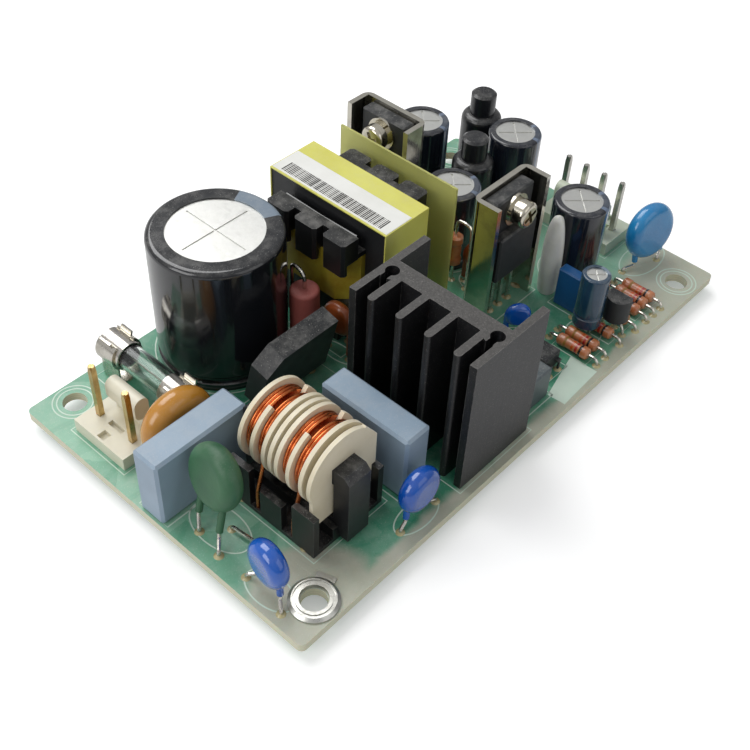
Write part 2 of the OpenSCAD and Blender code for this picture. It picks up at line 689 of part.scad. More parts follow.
module component_leads() color("gainsboro") {
    for (group = STRAIGHT, p = group[0]) translate([p[0], p[1], board_z])
        cylinder(r = p[2], h = board_t + group[1]);
    for (s = seats) seated(s) package_legs(s);
    for (i = [0:1]) {
        s = i - 0.5;
        kinked_lead([s * thermistor_pitch, 0, -thermistor_drop], thermistor_holes[1 - i], thermistor_at,
            [0, thermistor_lean], thermistor_turn);
        kinked_lead([s * ycap_pitch, 0, -ycap_drop], ycap1_holes[i], ycap1_at, [0, 0], ycap1_turn);
        kinked_lead([s * ycap_pitch, 0, -ycap_drop], ycap2_holes[i], ycap2_at, [0, 0], 0);
        kinked_lead([s * out_ycap_pitch, 0, -out_ycap_drop], out_ycap_holes[i], out_ycap_at,
            [out_ycap_lean, 0], out_ycap_turn);
    }
    for (i = [0:3]) kinked_lead([(i - 1.5) * bridge_pitch, 0, 0], bridge_holes[i],
        [bridge_xy[0], bridge_xy[1], bridge_z], [bridge_lean, 0], 0, [1, 0, 0]);
    for (i = [-1:1]) kinked_lead([0, i * reference_pitch, 0], reference_holes[i + 1],
        [reference_xy[0], reference_xy[1], reference_z], [0, 0], 0, [1, 1, 0]);
    looped_lead(snubber_xy, snubber_z + snubber_l, snubber_rise, snubber_holes[1]);
    looped_lead(upright_xy, upright_z + resistor_l, upright_rise, upright_holes[1]);
}

// A lead that leaves an upright part's top and loops down beside it to its hole
module looped_lead(xy, h, rise, hole) wire(bent([[xy[0], xy[1], top_z + h],
    [xy[0], xy[1], top_z + h + rise], [hole[0], hole[1], top_z + h + rise],
    [hole[0], hole[1], board_z]], loop_bend), hole[2], [hole[1] - xy[1], xy[0] - hole[0], 0]);

module ground_ring() color("lightgray")
    translate([mount_inset_x - board_l / 2, mount_inset_y - board_w / 2, top_z]) difference() {
        union() {
            rotate_extrude()
                polygon([[0, 0], [ring_r, 0], [ring_r, 0.3], [ring_r - 0.5, ring_t], [0, ring_t]]);
            rotate(20) translate([ring_r - 1, -ring_tab_w / 2, 0])
                cube([ring_tab_l - ring_r + 1, ring_tab_w, 0.3]);
        }
        translate([0, 0, -cut]) cylinder(r = mount_r + 0.2, h = ring_t + 2 * cut);
        rotate_extrude() translate([mount_r + 0.7, ring_t - 0.2]) square([ring_r - mount_r - 1.4, ring_t]);
    }

// Headers

// A square pin with a tapered tip, made by two crossed outlines
module header_pin() intersection() for (a = [0, 90]) rotate([90, 0, a]) linear_extrude(pin_w, center = true)
    polygon([[-pin_w / 2, -board_t], [pin_w / 2, -board_t], [pin_w / 2, pin_h - pin_tip], [pin_w / 4, pin_h],
        [-pin_w / 4, pin_h], [-pin_w / 2, pin_h - pin_tip]]);

// A header base with a friction lock; the lock is on the +x side of the pins
module header(length, ys) {
    lock_l = length - 2 * lock_margin;
    lock_x = header_back - 0.7 - lock_t;
    ridge_h = 1.6;
    difference() {
        translate([-header_front, -length / 2, 0]) cube([header_front + header_back, length, header_h]);
        for (y = ys) translate([0, y, -cut]) block([pin_w + 2 * snug, pin_w + 2 * snug, header_h + 2 * cut]);
        for (i = [1:len(ys) - 1]) translate([0, (ys[i - 1] + ys[i]) / 2, header_h - 0.8])
            block([pin_w, min(ys[i] - ys[i - 1] - 2 * pin_w, 3.2), cut]);
        for (i = [1:len(ys) - 1])
            translate([-header_front / 2 - 0.6, (ys[i - 1] + ys[i]) / 2, header_h - 0.8])
                block([1.6, 1.6, cut]);
    }
    translate([lock_x, -lock_l / 2, 0]) cube([lock_t, lock_l, lock_h - lock_ridge_r]);
    translate([lock_x + lock_t - lock_ridge_r, 0, lock_h - lock_ridge_r]) rotate([90, 0, 0])
        linear_extrude(lock_l, center = true) {
            circle(lock_ridge_r);
            translate([-lock_ridge_r, -ridge_h]) square([2 * lock_ridge_r, ridge_h]);
            translate([0, -ridge_h]) circle(lock_ridge_r);
        }
}

module ac_header() color("ivory") on_board(ac_xy) header(3 * pin_pitch, [-pin_pitch, pin_pitch]);

module dc_header() color("honeydew") on_board(dc_xy) rotate(180)
    header(4 * pin_pitch, [for (i = [-1.5:1.5]) i * pin_pitch]);

module ac_header_pins() color("goldenrod") for (p = ac_holes) on_board(p) header_pin();

module dc_header_pins() color("silver") for (p = dc_holes) on_board(p) header_pin();

// Fuse

// Children in the fuse's frame: z runs along the fuse
module on_fuse() on_board(fuse_xy, fuse_axis_h) rotate([90, 0, 0]) children();

module fuse_glass() color("lightcyan") on_fuse() difference() {
    cylinder(r = fuse_glass_r, h = fuse_l - 1.2, center = true);
    cylinder(r = fuse_glass_r - fuse_wall, h = fuse_l, center = true);
}

module fuse_end_caps() color("silver") on_fuse() for (m = [0, 1]) mirror([0, 0, m])
    translate([0, 0, fuse_l / 2 - fuse_cap_l]) difference() {
        cylinder(r = fuse_cap_r, h = fuse_cap_l);
        translate([0, 0, -cut]) cylinder(r = fuse_glass_r + snug, h = fuse_cap_l + cut - 0.5);
    }

module fuse_wire() color("gray") on_fuse() cylinder(r = 0.12, h = fuse_l - 1, center = true, $fn = 16);

// One clip: legs, base, two sides, spring arms that hug the cap, and a narrow ear on each arm
module fuse_clip() {
    inner = fuse_cap_r + snug;
    side_x = 0.8 * inner;
    rotate([90, 0, 0]) linear_extrude(clip_w, center = true) {
        for (m = [0, 1]) mirror([m, 0]) translate([side_x - clip_t, 0])
            square([clip_t, fuse_axis_h - sqrt(inner ^ 2 - (side_x - clip_t) ^ 2)]);
        translate([-side_x, 0]) square([2 * side_x, clip_t]);
        translate([0, fuse_axis_h]) difference() {
            circle(inner + clip_t);
            circle(inner);
            translate([-side_x + clip_t, -2 * inner]) square([2 * (side_x - clip_t), 4 * inner]);
        }
        translate([0, fuse_axis_h]) intersection() {
            difference() {
                circle(inner + clip_t);
                circle(inner);
            }
            for (m = [0, 1]) mirror([m, 0]) polygon([[0, 0], [2 * inner, 0],
                [2 * inner, 2 * inner * tan(50)], [2 * inner * cos(50), 2 * inner * sin(50)]]);
        }
    }
    rotate([90, 0, 0]) linear_extrude(0.6 * clip_w, center = true) for (m = [0, 1]) mirror([m, 0])
        translate([inner * cos(50), fuse_axis_h + inner * sin(50)]) rotate(-18) square([clip_t, 1.1]);
    for (y = [-0.5, 0.5]) translate([0, y * clip_leg_pitch, -board_t])
        cylinder(r = clip_leg_r, h = board_t + clip_t, $fn = 24);
}

module fuse_clips() color("gainsboro") for (y = clip_ys) on_board([fuse_xy[0], y]) fuse_clip();

// Input filter

module x_capacitor_1() color("lightslategray") on_board(xcap1_xy) bevelled(xcap_size, 0.45);

module x_capacitor_2() color("lightslategray") on_board(xcap2_xy) rotate(90) bevelled(xcap_size, 0.45);

module surge_varistor() color("goldenrod") lean_at(varistor_at, [0, 0], varistor_turn)
    dipped(varistor_r, varistor_t, varistor_pitch, varistor_at[2] - coat_h);

module inrush_thermistor() color("darkolivegreen")
    lean_at(thermistor_at, [0, thermistor_lean], thermistor_turn)
        dipped(thermistor_r, thermistor_t, thermistor_pitch, thermistor_drop);

module y_capacitor_1() color("dodgerblue") lean_at(ycap1_at, [0, 0], ycap1_turn)
    dipped(ycap_r, ycap_t, ycap_pitch, ycap_drop);

module y_capacitor_2() color("dodgerblue") lean_at(ycap2_at, [0, 0], 0)
    dipped(ycap_r, ycap_t, ycap_pitch, ycap_drop);

// Common mode choke

// Two U cores that meet inside the bobbin
module choke_core() color("dimgray") on_board(choke_xy) for (m = [0, 1]) mirror([0, m, 0])
    rotate([90, 0, 90]) linear_extrude(core_w, center = true) difference() {
        polygon([[0, core_bottom], [core_l / 2, core_bottom], [core_l / 2, core_top - 1],
            [core_l / 2 - 1, core_top], [0, core_top]]);
        translate([-cut, core_bottom + core_t])
            square([core_l / 2 - core_t + cut, core_top - core_bottom - 2 * core_t]);
    }

// A round flange, with its gap if it has one
module round_flange(gapped) linear_extrude(flange_t, center = true) difference() {
    circle(flange_r);
    if (gapped) polygon([[0, 0], for (a = [gap_angles[0], (gap_angles[0] + gap_angles[1]) / 2, gap_angles[1]])
        2 * flange_r * [cos(a), sin(a)]]);
}

// The end flange: round above, with one square shoulder, and straight down to the base between the feet
module end_flange() linear_extrude(flange_t) {
    shoulder = choke_foot_h + 2 * fit - choke_axis_h;
    upper = flange_r - 1.4;
    circle(flange_r);
    translate([-end_flange_w, -end_flange_drop]) square([2 * end_flange_w, end_flange_drop]);
    polygon([[0, 0], [0, shoulder], [end_flange_wide, shoulder], [end_flange_wide, upper - end_flange_cut[1]],
        [end_flange_wide - end_flange_cut[0], upper]]);
}

// The bobbin: tube, round flanges and the end flange
module choke_bobbin() color("dimgray") translate([choke_xy[0], bobbin_y, top_z + choke_axis_h])
    rotate([90, 0, 0]) difference() {
        union() {
            translate([0, 0, flange_ys[0]]) cylinder(r = tube_r, h = end_flange_y - flange_ys[0]);
            for (y = flange_ys) translate([0, 0, y]) round_flange(len(search(y, gapped_ys)) > 0);
            translate([0, 0, end_flange_y - flange_t / 2]) end_flange();
        }
        cube([core_w + 2 * fit, core_t + 2 * fit, 2 * core_l], center = true);
    }

// One winding: turns of wire side by side over a solid layer
module winding(span) translate([choke_xy[0], bobbin_y, top_z + choke_axis_h]) rotate([90, 0, 0]) {
    for (i = [0:len(flange_ys) - 2]) if (flange_ys[i] >= span[0] && flange_ys[i + 1] <= span[1])
        winding_bay(flange_ys[i] + flange_t / 2 + snug, flange_ys[i + 1] - flange_t / 2 - snug);
}

module winding_bay(z0, z1) {
    turns = floor((z1 - z0) / winding_wire);
    step = (z1 - z0) / turns;
    translate([0, 0, z0]) rotate_extrude() {
        translate([tube_r + snug, 0]) square([winding_r - winding_wire / 2 - tube_r, z1 - z0]);
        for (i = [0:turns - 1]) translate([winding_r - step / 2, (i + 0.5) * step])
            circle(step / 2, $fn = 16);
    }
}

module choke_winding_1() color("peru") winding(winding_spans[0]);

module choke_winding_2() color("peru") winding(winding_spans[1]);

// The base: a plate under the core, ribs beside the lower leg and three feet on each side
module choke_base() color("dimgray") on_board(choke_xy) {
    base_l = 2 * choke_pin_y + choke_foot_l;
    block([2 * choke_base_x, base_l, choke_base_t]);
    for (x = [-1, 1]) translate([x * (core_w / 2 + 0.6), 0, 0]) block([1, base_l, core_t]);
    for (x = [-1, 1], y = [-1:1]) translate([x * (choke_base_x - choke_foot_t / 2), y * choke_pin_y, 0])
        block([choke_foot_t, choke_foot_l, y == 0 ? 0.7 * choke_foot_h : choke_foot_h]);
}

// Rectifier and bulk capacitor

module bridge_rectifier() color("dimgray")
    lean_at([bridge_xy[0], bridge_xy[1], bridge_z], [bridge_lean, 0], 0) rotate([90, 0, 0])
        linear_extrude(bridge_size[1], center = true) translate([-bridge_size[0] / 2, 0])
            polygon([[0, 0], [bridge_size[0], 0], [bridge_size[0], bridge_size[2]],
                [bridge_cut, bridge_size[2]], [0, bridge_size[2] - bridge_cut]]);

module bulk_capacitor_can() color("silver") on_board(bulk_xy)
    can(bulk_r, bulk_h, bulk_bare_r, bulk_round, 0.5, turn = 0);

module bulk_capacitor_sleeve() color("darkslategray") on_board(bulk_xy)
    sleeve(bulk_r, bulk_h, bulk_bare_r, bulk_round, 0.5);

// A moulded or coated cylinder with rounded ends, along z
module coated_rod(r, l, round) rotate_extrude() {
    square([r - round, l]);
    translate([0, round]) square([r, l - 2 * round]);
    for (z = [round, l - round]) translate([r - round, z]) circle(round, $fn = 24);
}

module snubber_resistor() color("salmon") on_board(snubber_xy, snubber_z)
    coated_rod(snubber_r, snubber_l, 0.6);

module snubber_capacitors() color("chocolate") {
    lean_at(snubber_cap_at, [0, 0], 90)
        dipped(snubber_cap_r, snubber_cap_t, snubber_cap_pitch, snubber_cap_at[2] - coat_h);
    lean_at(out_snubber_at, [0, 0], out_snubber_turn)
        dipped(out_snubber_r, snubber_cap_t, out_snubber_pitch, out_snubber_at[2] - coat_h);
}

// Transformer

// Two E cores with their centre legs on the vertical axis
module transformer_core() color("dimgray") translate([trafo_xy[0], trafo_xy[1], top_z + core_z]) {
    half = (trafo_core_h - snug) / 2;
    for (m = [0, 1]) translate([0, 0, m * trafo_core_h]) mirror([0, 0, m]) rotate([90, 0, 90])
        linear_extrude(trafo_core[0], center = true) difference() {
            translate([-trafo_core[1] / 2, 0]) square([trafo_core[1], half]);
            for (s = [-1, 1]) translate([s * (leg_half + window_y) / 2, trafo_back + half])
                square([window_y - leg_half, 2 * half], center = true);
        }
}

// The bobbin: tube, flanges, lugs above and pin rails below
module transformer_bobbin() color("dimgray") on_board(trafo_xy) difference() {
    flange_y = window_y - fit;
    union() {
        translate([0, 0, window_z0 + fit]) block([trafo_core[0] + 2 * bobbin_tube + 2 * fit,
            2 * (leg_half + bobbin_tube + fit), window_z1 - window_z0 - 2 * fit]);
        for (z = [window_z0 + fit, window_z1 - fit - bobbin_flange_t]) translate([0, 0, z])
            block([2 * bobbin_x, 2 * flange_y, bobbin_flange_t]);
        for (s = [-1, 1]) {
            rail_in = trafo_core[0] / 2 + tape_t + fit;
            lug_in = rail_in + trench_w;
            lug_out = trafo_bulge + fit;
            lug_z = window_z1 - fit - bobbin_flange_t;
            translate([s * (rail_in + bobbin_x) / 2, 0, rail_z]) block([bobbin_x - rail_in, 2 * window_y,
                window_z0 + fit - rail_z + bobbin_flange_t]);
            for (y = [-1, 1]) translate([s * (rail_in + bobbin_x) / 2, y * trafo_pin_pitch, 0])
                block([bobbin_x - rail_in, 2, rail_z]);
            translate([s * (lug_in + bobbin_x) / 2, 0, lug_z])
                block([bobbin_x - lug_in, 2 * lug_pitch + lug_w, lug_h + bobbin_flange_t]);
            for (i = [-1:1]) {
                translate([s * (lug_in + lug_reach) / 2, i * lug_pitch, lug_z])
                    linear_extrude(lug_h + bobbin_flange_t) cut_rect([lug_reach - lug_in, lug_w], 0.5);
                translate([s * (lug_out + lug_reach) / 2, i * lug_pitch, lug_z - lug_drop])
                    linear_extrude(lug_drop + cut) cut_rect([lug_reach - lug_out, lug_w], 0.5);
            }
        }
    }
    translate([0, 0, window_z0 - cut]) block([trafo_core[0] + 2 * fit, 2 * (leg_half + fit), trafo_core_h]);
}

// The outline of the coil, with cut corners
module coil_outline(grow)
    cut_rect([2 * (trafo_bulge - tape_t + grow), 2 * (window_y - 2 * fit - tape_t + grow)], 3);

module coil_wall(outer, inner, play) translate([0, 0, window_z0 + fit + bobbin_flange_t + play])
    linear_extrude(window_z1 - window_z0 - 2 * (fit + bobbin_flange_t + play)) difference() {
        coil_outline(outer);
        if (inner == 0) square([trafo_core[0] + 2 * bobbin_tube + 4 * fit,
            2 * (leg_half + bobbin_tube + 2 * fit)], center = true);
        else coil_outline(inner);
    }

module transformer_winding() color("peru") on_board(trafo_xy) coil_wall(0, 0, snug);

module transformer_band() color("khaki") on_board(trafo_xy) coil_wall(tape_t, snug, snug);

module transformer_tape() color("khaki") translate([trafo_xy[0], trafo_xy[1], top_z + core_z]) difference() {
    translate([0, 0, -tape_t])
        block([trafo_core[0] + 0.4, trafo_core[1] + 2 * tape_t, trafo_core_h + 2 * tape_t]);
    block([trafo_core[0] + cut, trafo_core[1], trafo_core_h]);
}

module transformer_label() color("white") on_board(trafo_xy, trafo_h) translate([-1.8, 0, 0])
    block([label_w, trafo_core[1], 0.08]);

// The sleeved winding ends that run over the bobbin's flange in front of the core
module transformer_leads() color("black") {
    x = trafo_xy[0] - trafo_core[0] / 2 - tape_t - trench_w / 2;
    for (i = [0:2]) {
        z = top_z + window_z1 - fit + sleeved_r + 2.1 * sleeved_r * i;
        wire(bent([[x, trafo_xy[1] + 1.3 * lug_pitch, z], [x - 0.2, trafo_xy[1], z],
            [x, trafo_xy[1] - 1.2 * lug_pitch, z]], 1), sleeved_r, [0, 0, 1]);
    }
}

module insulation_sheet() color("khaki") on_board([sheet_x, trafo_xy[1]]) block([sheet_t, sheet_w, sheet_h]);

// Heatsink, brackets and packages

// Children in the frame of a package: z up from its lower end, its back against the wall at y = 0
module seated(s) translate([s[0], s[1], top_z + s[3] - package[2]]) rotate(s[2]) children();

// A round hole on the axis of the screw, from a depth in the wall to a reach in front of it
module screw_hole(s, r, depth) seated(s) translate([0, depth, package[2] - hole_drop]) rotate([90, 0, 0])
    cylinder(r = r, h = depth + package[1] + cut);

module package_body() difference() {
    union() {
        translate([0, -package[1] / 2, 0])
            bevelled([package[0], package[1], package[2] - package_tab_h], 0.3);
        translate([0, -package_tab_t / 2, 0]) bevelled([package[0], package_tab_t, package[2]], 0.3);
    }
    translate([0, cut, package[2] - hole_drop]) rotate([90, 0, 0])
        cylinder(r = screw_r + fit, h = package_tab_t + 2 * cut);
}

// One fin from the base, with a round tip
module fin(y) {
    tip = sink_xy[0] + sink_plate_t / 2;
    translate([tip, y - sink_plate_t / 2]) square([sink_base_x - tip + snug, sink_plate_t]);
    translate([tip, y]) circle(sink_plate_t / 2);
}

module main_heatsink() color("dimgray") difference() {
    boss_x = sink_base_x + keyhole_r - 0.4;
    boss_ys = [for (s = [-1, 1]) sink_mid_y + s * (sink_l / 2 - keyhole_r - 0.9)];
    translate([0, 0, top_z]) linear_extrude(sink_h) difference() {
        union() {
            translate([sink_base_x, sink_xy[1]]) square([sink_base_t, sink_l]);
            for (y = [0, sink_l - sink_plate_t]) translate([sink_xy[0], sink_xy[1] + y])
                square([sink_d, sink_plate_t]);
            for (i = [-1.5:1.5]) fin(sink_mid_y + i * sink_fin_pitch);
            for (y = boss_ys) translate([boss_x, y]) circle(keyhole_r + 0.9);
        }
        for (y = boss_ys) translate([boss_x, y]) {
            circle(keyhole_r);
            translate([-keyhole_r - 2, -0.6]) square([keyhole_r + 2, 1.2]);
        }
    }
    screw_hole(seats[0], screw_r + snug, seats[0][4]);
}

module switching_transistor() color("dimgray") seated(seats[0]) package_body();

module rear_rectifier() color("dimgray") seated(seats[1]) package_body();

module front_rectifier() color("dimgray") seated(seats[2]) package_body();

// A bent sheet bracket: its back is at y = 0 and its flanges point to -y, with a tab on each flange
module bracket() {
    tab_x = (bracket_w - bracket_t) / 2;
    linear_extrude(bracket_h) difference() {
        union() {
            translate([-bracket_w / 2, -bracket_d]) square([bracket_w, bracket_d - bracket_bend]);
            translate([bracket_bend - bracket_w / 2, -bracket_d])
                square([bracket_w - 2 * bracket_bend, bracket_d]);
            for (s = [-1, 1]) translate([s * (bracket_w / 2 - bracket_bend), -bracket_bend])
                circle(bracket_bend);
        }
        translate([bracket_t - bracket_w / 2, -2 * bracket_d])
            square([bracket_w - 2 * bracket_t, 2 * bracket_d - bracket_t]);
    }
    for (s = [-1, 1]) translate([s * tab_x, -bracket_d / 2, -board_t])
        block([bracket_tab[1], bracket_tab[0], board_t]);
}

module rear_bracket() color("gainsboro") difference() {
    on_board(rear_xy) rotate(-90) bracket();
    screw_hole(seats[1], screw_r + snug, bracket_t + cut);
}

module front_bracket() color("gainsboro") difference() {
    on_board(front_xy) bracket();
    screw_hole(seats[2], screw_r + snug, bracket_t + cut);
}

// Children on the axis of a seat's screw, z = 0 at the front of the package's tab
module on_screw(s) seated(s) translate([0, -package_tab_t, package[2] - hole_drop])
    rotate([90, 0, 0]) children();

module mounting_screws() color("silver") for (s = seats) on_screw(s) {
    back = package_tab_t + s[4];
    translate([0, 0, -back]) cylinder(r = screw_r, h = back + flat_washer_t + spring_washer_t + 0.2);
    translate([0, 0, flat_washer_t + spring_washer_t]) difference() {
        pan_head(screw_head_r, screw_head_h);
        for (a = [20, 110]) translate([0, 0, screw_head_h - 1.1]) rotate(a) block([3, 0.7, 2]);
    }
}

// A pan head: flat underside and domed top
module pan_head(r, h) rotate_extrude() {
    square([r, h - 0.8]);
    square([r - 0.8, h]);
    translate([r - 0.8, h - 0.8]) circle(0.8, $fn = 24);
}

module spring_washers() color("silver") for (s = seats) on_screw(s)
    translate([0, 0, flat_washer_t]) difference() {
        cylinder(r = screw_r + 0.8, h = spring_washer_t);
        translate([0, 0, -cut]) cylinder(r = screw_r + fit, h = spring_washer_t + 2 * cut);
        rotate(60) translate([screw_r, -0.2, -cut]) cube([2, 0.4, spring_washer_t + 2 * cut]);
    }

module flat_washers() color("silver") for (s = seats) on_screw(s) difference() {
    cylinder(r = screw_r + 1.5, h = flat_washer_t);
    translate([0, 0, -cut]) cylinder(r = screw_r + fit, h = flat_washer_t + 2 * cut);
}

// Output side

module output_capacitor_cans() color("silver") for (p = out_cap_xys) on_board(p)
    can(out_cap_r, out_cap_h, out_cap_bare_r, 0.6, 0.3);

module output_capacitor_sleeves() color("darkslategray") for (p = out_cap_xys) on_board(p)
    sleeve(out_cap_r, out_cap_h, out_cap_bare_r, 0.6, 0.3);

module small_capacitor_can() color("silver") on_board(small_cap_xy, small_cap_z)
    can(small_cap_r, small_cap_h, small_cap_bare_r, 0.4, 0.2);

module small_capacitor_sleeve() color("darkslategray") on_board(small_cap_xy, small_cap_z)
    sleeve(small_cap_r, small_cap_h, small_cap_bare_r, 0.4, 0.2);

// A rod inductor in a shrink tube that narrows to a closed neck
module filter_inductors() color("dimgray") for (p = inductor_xys) on_board(p) rotate_extrude() {
    shoulder = inductor_h + inductor_r - inductor_neck_r;
    polygon([[0, 0], [inductor_r - 0.4, 0], [inductor_r, 0.8], [inductor_r, inductor_h],
        for (a = [0:15:90]) [inductor_neck_r + (inductor_r - inductor_neck_r) * cos(a),
            inductor_h + (shoulder - inductor_h) * sin(a)],
        [inductor_neck_r, inductor_top - 0.4], [inductor_neck_r - 0.5, inductor_top], [0, inductor_top]]);
}

module film_capacitor() color("royalblue") on_board(film_xy) bevelled(film_size, 0.25);

module box_capacitor() color("dimgray") on_board(box_cap_xy) bevelled(box_cap_size, 0.3);

module output_y_capacitor() color("deepskyblue") lean_at(out_ycap_at, [out_ycap_lean, 0], out_ycap_turn)
    dipped(out_ycap_r, out_ycap_t, out_ycap_pitch, out_ycap_drop);

module ceramic_capacitor() color("steelblue") lean_at(ceramic_at, [0, 0], ceramic_turn)
    dipped(ceramic_r, ceramic_t, ceramic_pitch, ceramic_at[2] - coat_h);

// Small parts

// An axial resistor's body along z: two end caps and a narrower middle
module resistor_body(r, l) rotate_extrude() polygon([[0, 0], [0.7 * r, 0], [0.95 * r, 0.25],
    [r, 0.7], [r, 0.22 * l], [0.88 * r, 0.3 * l], [0.88 * r, 0.7 * l], [r, 0.78 * l], [r, l - 0.7],
    [0.95 * r, l - 0.25], [0.7 * r, l], [0, l]]);

module resistor_bodies() color("burlywood") {
    for (x = resistor_xs) on_board([x, resistor_y + resistor_l / 2], resistor_z) rotate([90, 0, 0])
        resistor_body(resistor_r, resistor_l);
    on_board(upright_xy, upright_z) resistor_body(upright_r, resistor_l);
}

module resistor_leads() color("silver") for (x = resistor_xs, s = [-1, 1])
    wire(bent([[x, resistor_y + s * resistor_l / 2, top_z + resistor_z],
        [x, resistor_y + s * resistor_span / 2, top_z + resistor_z],
        [x, resistor_y + s * resistor_span / 2, board_z]], wire_bend), wire_r, [1, 0, 0]);

module optocoupler() color("dimgray") on_board(opto_xy) {
    translate([0, 0, 0.4]) bevelled(opto_size, 0.3);
    for (p = opto_holes) {
        out = p[1] > opto_xy[1] ? 1 : -1;
        translate([p[0] - opto_xy[0], 0, 0]) {
            translate([0, out * opto_span / 2, -board_t]) block([0.4, 0.3, board_t + 2.1]);
            translate([0, out * (opto_span / 2 - 0.3), 1.9]) block([1, 0.9, 0.25]);
        }
    }
}

// A moulded transistor body: round back toward -x and a flat face toward +x
module voltage_reference() color("dimgray") on_board(reference_xy, reference_z) intersection() {
    cylinder(r = reference_r, h = reference_h);
    translate([-reference_r, -reference_r, 0])
        cube([reference_r + reference_flat, 2 * reference_r, reference_h]);
}

module jumper_wires() color("silver") {
    a = jumper_ends[0];
    b = jumper_ends[1];
    wire(bent([[a[0], a[1], board_z], [a[0], a[1], top_z + 0.8], [b[0], b[1], top_z + 0.8],
        [b[0], b[1], board_z]], 0.6), wire_r, [1, 0, 0]);
}

// The silicone that ties the front bracket to the capacitor beside it
module silicone_adhesive() color("whitesmoke")
    on_board([front_xy[0] + bracket_w / 2 + silicone_r + fit, front_xy[1] - 7.4]) hull() {
        cylinder(r = silicone_r, h = 0.6, $fn = 24);
        translate([0, 0, 0.4 * silicone_h]) sphere(r = silicone_r, $fn = 24);
        translate([silicone_tip_r - silicone_r, 1.4, silicone_h - silicone_tip_r])
            sphere(r = silicone_tip_r, $fn = 24);
    }

circuit_board();
solder_joints();
component_leads();
ground_ring();
ac_header();
ac_header_pins();
dc_header();
dc_header_pins();
fuse_glass();
fuse_end_caps();
fuse_wire();
fuse_clips();
surge_varistor();
x_capacitor_1();
x_capacitor_2();
inrush_thermistor();
y_capacitor_1();
y_capacitor_2();
choke_core();
choke_bobbin();
choke_winding_1();
choke_winding_2();
choke_base();
bridge_rectifier();
bulk_capacitor_can();
bulk_capacitor_sleeve();
snubber_resistor();
snubber_capacitors();
transformer_core();
transformer_bobbin();
transformer_winding();
transformer_band();
transformer_tape();
transformer_label();
transformer_leads();
insulation_sheet();
main_heatsink();
switching_transistor();
rear_bracket();
rear_rectifier();
front_bracket();
front_rectifier();
mounting_screws();
spring_washers();
flat_washers();
output_capacitor_cans();
output_capacitor_sleeves();
small_capacitor_can();
small_capacitor_sleeve();
filter_inductors();
film_capacitor();
box_capacitor();
output_y_capacitor();
ceramic_capacitor();
resistor_bodies();
resistor_leads();
optocoupler();
voltage_reference();
jumper_wires();
silicone_adhesive();
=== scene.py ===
"""Looks of an open frame power supply, built round its packed construction model.

The construction nodes keep their meshes and get their finishes here. Solder fillets, the print on the
board, wire ends and the soft adhesive are added as pieces of their own.
"""

from __future__ import annotations

import logging
import math
from dataclasses import dataclass
from enum import Enum
from typing import Callable, Iterable, Sequence

import bmesh
import bpy
from mathutils import Matrix, Vector


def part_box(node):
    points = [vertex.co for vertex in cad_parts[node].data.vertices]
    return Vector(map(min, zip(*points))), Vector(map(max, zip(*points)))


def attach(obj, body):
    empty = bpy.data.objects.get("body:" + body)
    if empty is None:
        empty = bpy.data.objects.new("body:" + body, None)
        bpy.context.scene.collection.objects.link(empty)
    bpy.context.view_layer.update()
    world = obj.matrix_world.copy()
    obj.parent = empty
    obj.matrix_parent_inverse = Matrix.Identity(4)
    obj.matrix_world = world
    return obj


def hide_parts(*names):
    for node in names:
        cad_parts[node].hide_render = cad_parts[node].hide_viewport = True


LOG = logging.getLogger("power_supply")
MM = 0.001

Colour = tuple[float, float, float]

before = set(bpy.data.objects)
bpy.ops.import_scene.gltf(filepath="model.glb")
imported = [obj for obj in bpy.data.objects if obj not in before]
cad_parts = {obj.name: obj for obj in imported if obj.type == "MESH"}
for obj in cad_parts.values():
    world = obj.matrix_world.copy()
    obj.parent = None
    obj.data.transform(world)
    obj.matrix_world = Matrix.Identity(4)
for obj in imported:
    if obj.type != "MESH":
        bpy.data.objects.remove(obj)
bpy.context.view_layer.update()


def tint(red: int, green: int, blue: int) -> Colour:
    """A colour from its usual values of 0 to 255, as the shaders take it."""
    return tuple(((v / 255 + 0.055) / 1.055) ** 2.4 for v in (red, green, blue))


# ---------------------------------------------------------------- shader wiring


